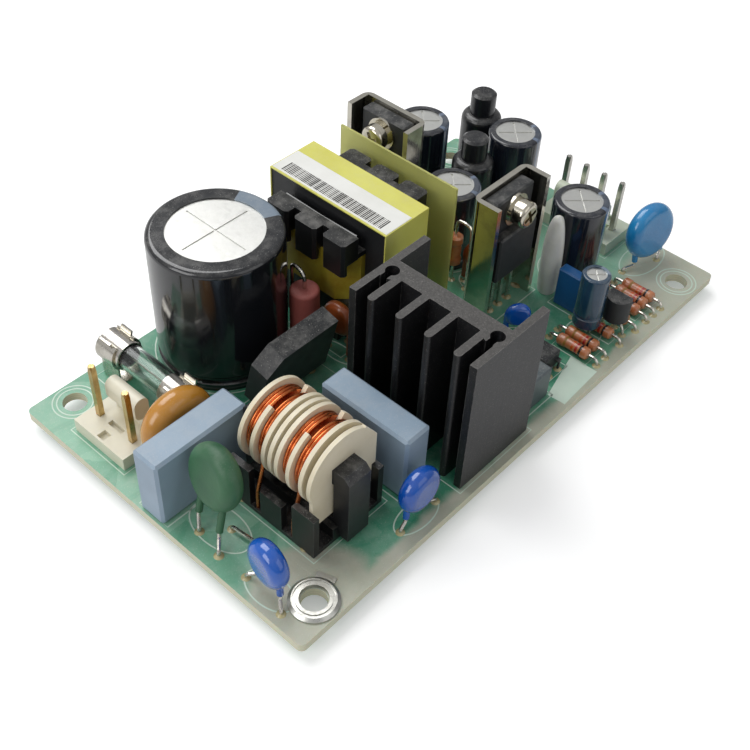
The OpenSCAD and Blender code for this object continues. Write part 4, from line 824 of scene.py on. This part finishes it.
def rounded_path(points: Sequence[Vector], reach: float, steps: int = 6) -> list[Vector]:
    """A path with its inner corners rounded.

    Args:
        points: the corners.
        reach: how far each rounding reaches from its corner.
        steps: points for each rounding.

    Returns:
        The rounded path.
    """
    path = [points[0]]
    for before, corner, after in zip(points, points[1:], points[2:]):
        start = corner + (before - corner).normalized() * reach
        end = corner + (after - corner).normalized() * reach
        for k in range(steps + 1):
            t = k / steps
            path.append(start * (1 - t) ** 2 + corner * 2 * t * (1 - t) + end * t * t)
    return [*path, points[-1]]


def add_strip(work: bmesh.types.BMesh, outline: Sequence[tuple[float, float]], width: float, z: float,
              height: float, closed: bool = True) -> None:
    """Adds a flat printed line.

    Args:
        work: the shape to add to.
        outline: its middle line, in metres.
        width: its width.
        z: the level that it lies on.
        height: its thickness.
        closed: whether its ends join.
    """
    count = len(outline)
    ring = []
    for i, (x, y) in enumerate(outline):
        before = outline[i - 1] if closed or i else outline[i]
        after = outline[(i + 1) % count] if closed or i < count - 1 else outline[i]
        ahead = Vector((after[0] - before[0], after[1] - before[1], 0)).normalized()
        side = Vector((-ahead.y, ahead.x, 0)) * width / 2
        spot = Vector((x, y, z))
        lift = Vector((0, 0, height))
        ring.append([work.verts.new(p) for p in (spot - side, spot + side, spot + side + lift, spot - side + lift)])
    pairs = list(zip(ring, ring[1:])) + ([(ring[-1], ring[0])] if closed else [])
    for a, b in pairs:
        for k in range(4):
            work.faces.new((a[k], a[(k + 1) % 4], b[(k + 1) % 4], b[k]))
    if not closed:
        work.faces.new(ring[0][::-1])
        work.faces.new(ring[-1])


class Repeater:
    """A Geometry Nodes tree that puts one shape on every point of a mesh."""

    def __init__(self, name: str, sizes: dict[str, float]) -> None:
        """Starts the tree with its geometry sockets and its named sizes.

        Args:
            name: the tree's name.
            sizes: value by name, each one an input of the tree.
        """
        self.sizes = sizes
        self.tree = bpy.data.node_groups.new(name, "GeometryNodeTree")
        self.tree.interface.new_socket("Geometry", in_out="INPUT", socket_type="NodeSocketGeometry")
        self.sockets = {key: self.tree.interface.new_socket(key, in_out="INPUT", socket_type="NodeSocketFloat")
                        for key in sizes}
        self.tree.interface.new_socket("Geometry", in_out="OUTPUT", socket_type="NodeSocketGeometry")
        self.w = Wiring(self.tree)
        self.given = self.tree.nodes.new("NodeGroupInput")
        self.taken = self.tree.nodes.new("NodeGroupOutput")

    def finish(self, shape: bpy.types.NodeSocket, material: bpy.types.Material, scale: object = None,
               turn: object = None) -> None:
        """Places the shape on the points and ends the tree.

        Args:
            shape: the geometry to repeat.
            material: its material.
            scale: a scale for each point.
            turn: a rotation for each point.
        """
        points = self.w.node("GeometryNodeMeshToPoints", Mesh=self.given.outputs["Geometry"])
        placed = self.w.node("GeometryNodeInstanceOnPoints", Points=points.outputs[0], Instance=shape)
        if scale is not None:
            self.w.feed(placed.inputs["Scale"], scale)
        if turn is not None:
            self.w.feed(placed.inputs["Rotation"], turn)
        real = self.w.node("GeometryNodeRealizeInstances", Geometry=placed.outputs[0])
        painted = self.w.node("GeometryNodeSetMaterial", Geometry=real.outputs[0], Material=material)
        self.w.feed(self.taken.inputs[0], painted.outputs[0])

    def run(self, name: str, points: Sequence[Vector], attributes: dict[str, Sequence[float]],
            material: bpy.types.Material, smooth: bool = False) -> bpy.types.Object:
        """Runs the tree over points and keeps the result as a plain piece.

        Args:
            name: the piece's name.
            points: where the shape goes.
            attributes: a value for each point, by name.
            material: the piece's material.
            smooth: whether its faces look smooth.

        Returns:
            The piece.
        """
        source = bpy.data.meshes.new(name + "_points")
        source.from_pydata([tuple(p) for p in points], [], [])
        for key, values in attributes.items():
            held = source.attributes.new(key, "FLOAT", "POINT")
            held.data.foreach_set("value", list(values))
        carrier = bpy.data.objects.new(name + "_points", source)
        bpy.context.collection.objects.link(carrier)
        modifier = carrier.modifiers.new("repeat", "NODES")
        modifier.node_group = self.tree
        for key, value in self.sizes.items():
            modifier[self.sockets[key].identifier] = value
        seen = carrier.evaluated_get(bpy.context.evaluated_depsgraph_get())
        mesh = bpy.data.meshes.new_from_object(seen)
        mesh.name = name
        bpy.data.objects.remove(carrier)
        made = bpy.data.objects.new(name, mesh)
        bpy.context.collection.objects.link(made)
        if not mesh.materials:
            mesh.materials.append(material)
        for face in mesh.polygons:
            face.use_smooth = smooth
        settle(made)
        return made


# ---------------------------------------------------------------- sub-assemblies


@dataclass
class BoardPrint:
    """The printed outlines round the components and the holes, and the plain pale field.

    Attributes:
        line: width of a printed line.
        ink: thickness of the ink.
        margin: distance of an outline from its component.
        ring: radius of the first ring round a mounting hole.
        field: corners of the plain field as shares of the board's half length and half width.
    """

    line: float = 0.00022
    ink: float = 0.00002
    margin: float = 0.0006
    ring: float = 0.0029
    field: tuple[tuple[float, float], ...] = ((0.328, -0.79), (0.331, -0.962), (0.146, -0.977), (0.141, -0.871))

    def build(self) -> None:
        """Builds the printed lines and the field."""
        low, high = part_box("circuit_board")
        level = high.z
        ink = Moulded("board_ink", tint(206, 222, 208), tint(186, 208, 192), rough=0.45, glint_and_wear=0.0, dust=0.1,
                      relief=0.00002).build()
        work = bmesh.new()
        for node in ("ac_header", "dc_header", "x_capacitor_1", "x_capacitor_2", "choke_base", "bridge_rectifier",
                     "main_heatsink", "box_capacitor", "optocoupler", "film_capacitor", "front_bracket",
                     "rear_bracket", "transformer_bobbin", "fuse_clips"):
            a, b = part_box(node)
            m = self.margin
            self.rectangle(work, max(a.x - m, low.x + m), max(a.y - m, low.y + m), min(b.x + m, high.x - m),
                           min(b.y + m, high.y - m), level)
        for node in ("surge_varistor", "inrush_thermistor", "y_capacitor_1", "y_capacitor_2", "output_y_capacitor",
                     "ceramic_capacitor", "snubber_capacitors"):
            for a, b in islands(node):
                self.oval(work, (a + b) / 2, (b.x - a.x) / 2 + self.margin, (b.y - a.y) / 2 + self.margin, level)
        for node in ("bulk_capacitor_sleeve", "output_capacitor_sleeves", "filter_inductors",
                     "small_capacitor_sleeve", "snubber_resistor"):
            for a, b in islands(node):
                reach = (b.x - a.x) / 2 + self.margin
                self.oval(work, (a + b) / 2, reach, reach, level)
        hole = ring_centre()
        for x in (-1, 1):
            for y in (-1, 1):
                spot = Vector((x * abs(hole.x), y * abs(hole.y), 0))
                if x > 0 or y > 0:
                    for reach in (self.ring, self.ring + 0.0007):
                        self.oval(work, spot, reach, reach, level)
        for a, b in islands("resistor_bodies"):
            if b.z - a.z < 0.003:
                self.rectangle(work, a.x - 0.0001, a.y - 0.0004, b.x + 0.0001, b.y + 0.0004, level)
        mesh_piece("printed_outlines", work, ink)
        work = bmesh.new()
        verts = [work.verts.new((x * high.x, y * high.y, level)) for x, y in self.field]
        face = work.faces.new(verts)
        raised = bmesh.ops.extrude_face_region(work, geom=[face])
        bmesh.ops.translate(work, vec=(0, 0, self.ink), verts=[v for v in raised["geom"]
                                                               if isinstance(v, bmesh.types.BMVert)])
        mesh_piece("printed_field", work, ink)

    def rectangle(self, work: bmesh.types.BMesh, x0: float, y0: float, x1: float, y1: float, z: float) -> None:
        """Adds a rectangle's outline."""
        add_strip(work, [(x0, y0), (x1, y0), (x1, y1), (x0, y1)], self.line, z, self.ink)

    def oval(self, work: bmesh.types.BMesh, middle: Vector, rx: float, ry: float, z: float) -> None:
        """Adds an oval's outline, kept on the board."""
        low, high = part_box("circuit_board")
        points = []
        for k in range(48):
            x = middle.x + rx * math.cos(math.tau * k / 48)
            y = middle.y + ry * math.sin(math.tau * k / 48)
            points.append((min(max(x, low.x + self.line), high.x - self.line),
                           min(max(y, low.y + self.line), high.y - self.line)))
        add_strip(work, points, self.line, z, self.ink)


@dataclass
class FluxCollars:
    """The small glossy collars of flux and solder where leads enter the top of the board.

    Attributes:
        spread: how far a collar reaches past its lead's hole; not used.
        height: its height.
    """

    spread: float = 1.5
    height: float = 0.00022

    def build(self) -> None:
        """Builds the collars at every lead hole."""
        _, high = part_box("circuit_board")
        joints = islands("solder_joints")
        points = [Vector(((a.x + b.x) / 2, (a.y + b.y) / 2, high.z)) for a, b in joints]
        reach = [(b.x - a.x) / 2 * 0.72 for a, b in joints]
        finish = Moulded("lead_collar", tint(196, 186, 140), tint(150, 140, 96), rough=0.16, coat=0.7, patch=900.0,
                         glint_and_wear=0.0, dust=0.05, relief=0.00003).build()
        tree = Repeater("lead_collars", {"Height": self.height, "Upper": 0.55})
        shape = tree.w.node("GeometryNodeMeshCone", Vertices=18, Radius_Bottom=1.0,
                            Depth=tree.given.outputs["Height"])
        tree.w.feed(shape.inputs["Radius Top"], tree.given.outputs["Upper"])
        held = tree.w.node("GeometryNodeInputNamedAttribute", {"data_type": "FLOAT"}, Name="reach")
        scale = tree.w.node("ShaderNodeCombineXYZ", X=held.outputs["Attribute"], Y=held.outputs["Attribute"], Z=1.0)
        tree.finish(shape.outputs["Mesh"], finish, scale.outputs[0])
        tree.run("lead_collars", points, {"reach": reach}, finish)


@dataclass
class LabelBars:
    """The plain stripes on the transformer's paper label.

    Attributes:
        count: number of stripes.
        width: share of the label's width that they take.
        start: their distance from the label's ends.
        ink: thickness of the ink.
    """

    count: int = 64
    width: float = 0.42
    start: float = 0.0018
    ink: float = 0.000012

    def build(self) -> None:
        """Builds the stripes."""
        low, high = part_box("transformer_label")
        finish = Moulded("label_ink", tint(28, 26, 24), tint(52, 48, 44), rough=0.5, glint_and_wear=0.0, dust=0.1).build()
        step = (high.y - low.y - 2 * self.start) / (self.count - 1)
        across = (high.x - low.x) * self.width
        points = [Vector((low.x + 0.0004 + across / 2, low.y + self.start + i * step, high.z))
                  for i in range(self.count)]
        tree = Repeater("label_bars", {"Across": across, "Least": 0.25, "Most": 0.85})
        box = tree.w.node("GeometryNodeMeshCube", Size=(1.0, step, 2 * self.ink))
        spread = tree.w.node("FunctionNodeRandomValue", {"data_type": "FLOAT"}, Seed=7)
        spread.inputs[2].default_value = 0.25
        spread.inputs[3].default_value = 0.85
        tree.w.feed(spread.inputs[2], tree.given.outputs["Least"])
        tree.w.feed(spread.inputs[3], tree.given.outputs["Most"])
        scale = tree.w.node("ShaderNodeCombineXYZ", X=tree.given.outputs["Across"], Y=spread.outputs[1], Z=1.0)
        tree.finish(box.outputs[0], finish, scale.outputs[0])
        tree.run("label_bars", points, {}, finish)


@dataclass
class Adhesive:
    """The soft white drop of adhesive beside the output capacitor.

    Attributes:
        rings: rings from the foot to the tip.
        sides: points of each ring.
        fullness: exponent of the drop's outline.
    """

    rings: int = 28
    sides: int = 32
    fullness: float = 2.4

    def build(self) -> None:
        """Builds the drop in the space of its construction node."""
        low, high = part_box("silicone_adhesive")
        finish = Moulded("silicone", tint(226, 226, 222), tint(204, 205, 200), edge=tint(236, 236, 232), rough=0.3,
                         coat=0.25, patch=220.0, grain=900.0, relief=0.0001, wave=0.9, glint_and_wear=0.0, dust=0.12,
                         through=0.4).build()
        middle, half = (low + high) / 2, (high - low) / 2 * 0.985
        work = bmesh.new()
        loops = []
        for i in range(self.rings + 1):
            t = i / self.rings
            width = (1 - (2 * abs(t - 0.36) / 1.28) ** self.fullness) ** (1 / self.fullness) if t < 1 else 0.0
            width = max(width, 0.02)
            lean = 0.12 * math.sin(2.2 * t)
            loop = []
            for k in range(self.sides):
                a = math.tau * k / self.sides
                swell = 1 - 0.07 * (1 + math.sin(3 * a + 5 * t)) / 2
                loop.append(work.verts.new((
                    middle.x + half.x * (math.cos(a) * width * swell * 0.94 - lean * 0.3),
                    middle.y + half.y * (math.sin(a) * width * swell * 0.92 + lean * 0.4),
                    low.z + (high.z - low.z) * 0.99 * t)))
            loops.append(loop)
        for a, b in zip(loops, loops[1:]):
            for k in range(self.sides):
                n = (k + 1) % self.sides
                work.faces.new((a[k], a[n], b[n], b[k]))
        work.faces.new(loops[0][::-1])
        work.faces.new(loops[-1])
        drop = mesh_piece("silicone_drop", work, finish, math.radians(60))
        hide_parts("silicone_adhesive")


@dataclass
class ChokeWires:
    """The wire ends of the choke's two windings, led down to the slots of its base.

    Attributes:
        wire: radius of the enamelled wire.
        bend: reach of its bends.
    """

    wire: float = 0.00035
    bend: float = 0.0009

    def build(self, material: bpy.types.Material) -> None:
        """Builds both ends of each winding."""
        base_low, base_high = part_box("choke_base")
        work = bmesh.new()
        for node in ("choke_winding_1", "choke_winding_2"):
            low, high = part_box(node)
            middle = (low + high) / 2
            for side, y in ((-1, low.y + 0.0006), (1, high.y - 0.0006)):
                start = Vector((middle.x + side * (high.x - low.x) * 0.47, y, middle.z - 0.0005))
                foot = base_low.x + 0.0006 if side < 0 else base_high.x - 0.0006
                path = rounded_path([start, start + Vector((side * 0.0004, 0, -0.003)),
                                     Vector((foot, y - side * 0.0004, base_low.z + 0.0045)),
                                     Vector((foot, y - side * 0.0004, base_low.z + 0.0002))], self.bend)
                add_tube(work, path, self.wire)
        mesh_piece("choke_wire_ends", work, material, math.radians(50))


class Finishes:
    """Dresses every construction node that keeps its own shape."""

    def plastics(self) -> None:
        """Dresses the moulded, dipped and taped parts."""
        # the lighter edge colours below are partly painted edge glint, partly worn edges
        cream = Moulded("ac_header_plastic", tint(226, 222, 204), tint(214, 208, 186), edge=tint(238, 236, 224),
                        rough=0.38, through=0.12, dust=0.25)
        pale = Moulded("dc_header_plastic", tint(206, 214, 196), tint(190, 200, 178), edge=tint(228, 232, 220),
                       rough=0.34, through=0.25, dust=0.2)
        case = Moulded("grey_blue_case", tint(146, 166, 184), tint(134, 153, 171), edge=tint(178, 192, 204),
                       rough=0.34, relief=0.00003, glint_and_wear=0.5, dust=0.25)
        amber = Moulded("amber_coating", tint(196, 140, 48), tint(176, 116, 34), edge=tint(206, 160, 80), rough=0.2,
                        coat=0.6, relief=0.0001, wave=0.6, glint_and_wear=0.05)
        green = Moulded("green_coating", tint(56, 104, 70), tint(42, 84, 58), edge=tint(84, 124, 92), rough=0.46,
                        relief=0.00008, wave=0.6, glint_and_wear=0.1)
        blue = Moulded("blue_coating", tint(8, 92, 190), tint(4, 70, 160), edge=tint(40, 120, 205), rough=0.13,
                       coat=0.9, relief=0.00008, wave=0.8, glint_and_wear=0.0, dust=0.06)
        cyan = Moulded("cyan_coating", tint(30, 136, 192), tint(20, 112, 170), edge=tint(70, 160, 205), rough=0.2,
                       coat=0.7, relief=0.00012, wave=0.9, glint_and_wear=0.0, dust=0.1)
        black = Moulded("black_bobbin", tint(26, 27, 28), tint(20, 21, 22), edge=tint(96, 96, 96), rough=0.36,
                        relief=0.00004, glint_and_wear=0.5, dust=0.3)
        ivory = Moulded("cream_bobbin", tint(228, 219, 196), tint(214, 202, 172), edge=tint(240, 234, 218),
                        rough=0.42, relief=0.00006, glint_and_wear=0.3, dust=0.3, through=0.15)
        epoxy = Moulded("black_epoxy", tint(38, 40, 42), tint(30, 32, 34), edge=tint(104, 104, 102), rough=0.5,
                        grain=4200.0, relief=0.00005, glint_and_wear=0.45, dust=0.35)
        ferrite = Moulded("ferrite", tint(34, 35, 37), tint(25, 26, 28), edge=tint(92, 92, 92), rough=0.42,
                          grain=3600.0, relief=0.00006, glint_and_wear=0.6, dust=0.3)
        salmon = Moulded("salmon_coating", tint(168, 92, 84), tint(146, 74, 68), edge=tint(190, 120, 108), rough=0.6,
                         grain=3200.0, relief=0.00007, glint_and_wear=0.2)
        orange = Moulded("orange_coating", tint(152, 78, 36), tint(126, 58, 24), edge=tint(176, 106, 60), rough=0.3,
                         coat=0.3, relief=0.00008, wave=0.7, glint_and_wear=0.05)
        tape = Moulded("yellow_tape", tint(222, 220, 116), tint(206, 200, 92), edge=tint(168, 140, 46), rough=0.2,
                       coat=0.4, patch=90.0, grain=700.0, relief=0.00008, wave=1.2, glint_and_wear=0.35, dust=0.15,
                       through=0.15)
        band = Moulded("amber_band", tint(196, 184, 66), tint(150, 118, 34), edge=tint(120, 84, 24), rough=0.22,
                       coat=0.4, patch=190.0, grain=700.0, relief=0.00008, wave=1.2, glint_and_wear=0.2)
        paper = Moulded("label_paper", tint(232, 232, 228), tint(220, 220, 214), rough=0.55, grain=5000.0,
                        relief=0.00002, glint_and_wear=0.1, dust=0.1)
        wrap = Moulded("black_sleeving", tint(14, 14, 15), tint(20, 20, 22), rough=0.14, coat=0.8, relief=0.00006,
                       wave=0.9, glint_and_wear=0.0)
        tube = Moulded("inductor_tube", tint(20, 21, 24), tint(28, 29, 33), edge=tint(70, 70, 74), rough=0.3,
                       coat=0.3, relief=0.00008, wave=1.0, glint_and_wear=0.1, dust=0.25)
        film = Moulded("blue_case", tint(24, 92, 152), tint(18, 76, 130), edge=tint(60, 124, 176), rough=0.3,
                       relief=0.00003, glint_and_wear=0.3)
        grey = Moulded("grey_case", tint(84, 94, 98), tint(70, 80, 84), edge=tint(120, 128, 130), rough=0.42,
                       relief=0.00003, glint_and_wear=0.3, dust=0.3)
        for finish, nodes in (
                (cream, ("ac_header",)), (pale, ("dc_header",)), (case, ("x_capacitor_1", "x_capacitor_2")),
                (amber, ("surge_varistor",)), (green, ("inrush_thermistor",)),
                (blue, ("y_capacitor_1", "y_capacitor_2", "ceramic_capacitor")), (cyan, ("output_y_capacitor",)),
                (black, ("choke_base", "transformer_bobbin")), (ivory, ("choke_bobbin",)),
                (epoxy, ("bridge_rectifier", "switching_transistor", "rear_rectifier", "front_rectifier",
                         "optocoupler", "voltage_reference")),
                (ferrite, ("choke_core", "transformer_core")), (salmon, ("snubber_resistor",)),
                (orange, ("snubber_capacitors",)), (tape, ("transformer_tape",)), (band, ("transformer_band",)),
                (paper, ("transformer_label",)), (wrap, ("transformer_leads",)), (tube, ("filter_inductors",)),
                (film, ("film_capacitor",)), (grey, ("box_capacitor",))):
            dress(finish.build(), *nodes)
        dress(Clear("yellow_sheet", tint(224, 224, 140), 0.32, 0.55, 0.15).build(), "insulation_sheet")
        dress(Clear("fuse_tube", tint(236, 244, 240), 0.02, 1.0, 0.03).build(), "fuse_glass")

    def sleeves(self) -> None:
        """Dresses the capacitors' sleeves."""
        dark = Sleeve("dark_sleeve", tint(16, 18, 22), tint(118, 132, 146), (1.0, 0.0, 0.0), opening=0.9)
        dress(dark.build("bulk_capacitor_sleeve"), "bulk_capacitor_sleeve")
        navy = Sleeve("navy_sleeve", tint(20, 24, 34), tint(96, 110, 132), (0.64, -0.77, 0.0), opening=0.8)
        dress(navy.build("output_capacitor_sleeves"), "output_capacitor_sleeves")
        teal = Sleeve("teal_sleeve", tint(22, 52, 74), tint(110, 128, 144), (0.94, -0.34, 0.0), opening=0.85)
        dress(teal.build("small_capacitor_sleeve"), "small_capacitor_sleeve")

    def metals(self) -> bpy.types.Material:
        """Dresses the bare metal; returns the enamelled copper."""
        copper = Metal("enamelled_copper", tint(222, 128, 76), tint(150, 66, 28), rough=0.22, stained=0.6,
                       lines=(2600.0, 2600.0, 2600.0))
        made = copper.build()
        dress(made, "choke_winding_1", "choke_winding_2", "transformer_winding")
        for finish, nodes in (
                (Metal("solder", tint(206, 208, 210), tint(150, 150, 148), rough=0.18,
                       lines=(900.0, 900.0, 900.0)), ("solder_joints",)),
                (Metal("tinned_wire", tint(218, 214, 206), tint(150, 146, 136), rough=0.2,
                       lines=(1200.0, 1200.0, 200.0)), ("component_leads", "resistor_leads", "jumper_wires")),
                (Metal("ground_metal", tint(206, 206, 200), tint(140, 138, 130), rough=0.3,
                       lines=(900.0, 3000.0, 900.0)), ("ground_ring",)),
                (Metal("brass_pins", tint(206, 180, 128), tint(140, 112, 66), rough=0.28), ("ac_header_pins",)),
                (Metal("tinned_pins", tint(214, 212, 204), tint(158, 154, 142), rough=0.28), ("dc_header_pins",)),
                (Metal("nickel_caps", tint(214, 210, 202), tint(160, 154, 144), rough=0.16,
                       lines=(4000.0, 200.0, 4000.0)), ("fuse_end_caps",)),
                (Metal("fuse_element", tint(150, 146, 138), tint(100, 96, 90), rough=0.4), ("fuse_wire",)),
                (Metal("spring_clips", tint(212, 208, 198), tint(150, 144, 132), rough=0.22), ("fuse_clips",)),
                (Metal("can_aluminium", tint(226, 226, 222), tint(196, 196, 190), rough=0.34,
                       lines=(1500.0, 1500.0, 1500.0), relief=0.000015, stained=0.4),
                 ("bulk_capacitor_can", "output_capacitor_cans", "small_capacitor_can")),
                (Metal("bracket_sheet", tint(216, 212, 200), tint(172, 166, 150), rough=0.12,
                       lines=(3200.0, 3200.0, 160.0), relief=0.000006, stained=0.4), ("rear_bracket", "front_bracket")),
                (Metal("screw_steel", tint(218, 212, 196), tint(156, 148, 130), rough=0.14,
                       lines=(1600.0, 1600.0, 1600.0)), ("mounting_screws", "spring_washers", "flat_washers"))):
            dress(finish.build(), *nodes)
        return made

    def build(self) -> bpy.types.Material:
        """Dresses every node; returns the enamelled copper for the wire ends."""
        dress(Laminate().build(), "circuit_board")
        dress(Anodised().build(), "main_heatsink")
        dress(Banded().build(), "resistor_bodies")
        self.plastics()
        self.sleeves()
        return self.metals()


# ---------------------------------------------------------------- studio


@dataclass
class Studio:
    """The camera, the lamps, the floor and the light from all round.

    Attributes:
        spot: the camera's place, in metres.
        azimuth: the camera's azimuth, in degrees.
        elevation: its height above the horizon, in degrees.
        roll: its roll, in degrees.
        lens: its focal length, in millimetres.
    """

    spot: tuple[float, float, float] = (-0.11033, -0.08877, 0.14109)
    azimuth: float = -49.888
    elevation: float = 46.088
    roll: float = 3.179
    lens: float = 54.8

    def build(self) -> None:
        """Builds the camera, the lamps, the floor and the world."""
        self.camera()
        self.lamp("key", (0.02, 0.42, 0.62), 0.55, 3.4)
        self.lamp("left", (-0.62, 0.1, 0.36), 0.4, 1.5)
        self.lamp("front", (0.1, -0.6, 0.35), 0.5, 0.5)
        self.floor()
        self.world()

    def camera(self) -> None:
        """Builds the camera at its place and turn."""
        a, e, r = (math.radians(v) for v in (self.azimuth, self.elevation, self.roll))
        right = Vector((math.cos(a), math.sin(a), 0))
        ahead = Vector((-math.sin(a) * math.cos(e), math.cos(a) * math.cos(e), -math.sin(e)))
        down = ahead.cross(right)
        across = math.cos(r) * right - math.sin(r) * down
        below = math.cos(r) * down + math.sin(r) * right
        camera = bpy.data.objects.new("camera", bpy.data.cameras.new("camera"))
        camera.data.lens = self.lens
        camera.data.sensor_width = 36.0
        camera.data.clip_start, camera.data.clip_end = 0.005, 20.0
        camera.matrix_world = Matrix.Translation(self.spot) @ Matrix((across, -below, -ahead)).transposed().to_4x4()
        bpy.context.collection.objects.link(camera)
        bpy.context.scene.camera = camera

    def lamp(self, name: str, spot: tuple[float, float, float], size: float, power: float) -> None:
        """Adds a square soft lamp that faces the object."""
        data = bpy.data.lights.new(name, "AREA")
        data.shape = "SQUARE"
        data.size = size
        data.energy = power
        lamp = bpy.data.objects.new(name, data)
        lamp.matrix_world = (Matrix.Translation(spot)
                             @ (-Vector(spot)).to_track_quat("-Z", "Y").to_matrix().to_4x4())
        bpy.context.collection.objects.link(lamp)

    def seen(self, w: Wiring) -> bpy.types.NodeSocket:
        """A mask of the rays by which the floor or the world shows itself."""
        path = w.node("ShaderNodeLightPath").outputs
        return w.math("MAXIMUM", path["Is Camera Ray"], w.math("MULTIPLY", path["Is Transmission Ray"], 0.8))

    def floor(self) -> None:
        """Adds the plain pale floor, which keeps the object's shadow."""
        data = bpy.data.meshes.new("floor")
        reach = 3.0
        data.from_pydata([(-reach, -reach, 0), (reach, -reach, 0), (reach, reach, 0), (-reach, reach, 0)], [],
                         [(0, 1, 2, 3)])
        made = bpy.data.materials.new("floor")
        made.use_nodes = True
        made.node_tree.nodes.clear()
        w = Wiring(made.node_tree)
        plain = w.node("ShaderNodeBsdfDiffuse", Color=(0.72, 0.72, 0.72))
        lit = w.node("ShaderNodeBsdfDiffuse", Color=(0.86, 0.86, 0.86))
        glow = w.node("ShaderNodeEmission", Color=(1.0, 1.0, 1.0), Strength=0.3)
        white = w.node("ShaderNodeAddShader")
        w.feed(white.inputs[0], lit.outputs[0])
        w.feed(white.inputs[1], glow.outputs[0])
        both = w.node("ShaderNodeMixShader", Fac=self.seen(w))
        w.feed(both.inputs[1], plain.outputs[0])
        w.feed(both.inputs[2], white.outputs[0])
        out = w.node("ShaderNodeOutputMaterial")
        w.feed(out.inputs["Surface"], both.outputs[0])
        data.materials.append(made)
        obj = bpy.data.objects.new("floor", data)
        bpy.context.collection.objects.link(obj)

    def world(self) -> None:
        """Sets a world that is white where it is seen and shaded by height where it lights."""
        world = bpy.data.worlds.new("studio")
        bpy.context.scene.world = world
        world.use_nodes = True
        world.node_tree.nodes.clear()
        w = Wiring(world.node_tree)
        x, y, z = w.axes(w.node("ShaderNodeTexCoord").outputs["Generated"])
        height = w.ramp(z, -0.1, 0.9)
        flank = w.ramp(w.math("ADD", w.math("MULTIPLY", x, -0.7), w.math("MULTIPLY", y, 0.7)), -0.5, 0.6)
        light = w.mix(height, (0.32, 0.32, 0.33), (0.78, 0.79, 0.8))
        light = w.mix(w.math("MULTIPLY", flank, 0.5), light, (0.95, 0.95, 0.95))
        sky = w.node("ShaderNodeBackground", Color=light, Strength=0.62)
        white = w.node("ShaderNodeBackground", Color=(1.0, 1.0, 1.0), Strength=1.0)
        both = w.node("ShaderNodeMixShader", Fac=self.seen(w))
        w.feed(both.inputs[1], sky.outputs[0])
        w.feed(both.inputs[2], white.outputs[0])
        out = w.node("ShaderNodeOutputWorld")
        w.feed(out.inputs["Surface"], both.outputs[0])


def main() -> None:
    """Builds the scene in order."""
    logging.basicConfig(level=logging.INFO, format="%(name)s: %(message)s")
    bpy.context.scene.view_settings.view_transform = "Standard"
    Studio().build()
    copper = Finishes().build()
    BoardPrint().build()
    FluxCollars().build()
    LabelBars().build()
    Adhesive().build()
    ChokeWires().build(copper)


if __name__ == "__main__":
    main()
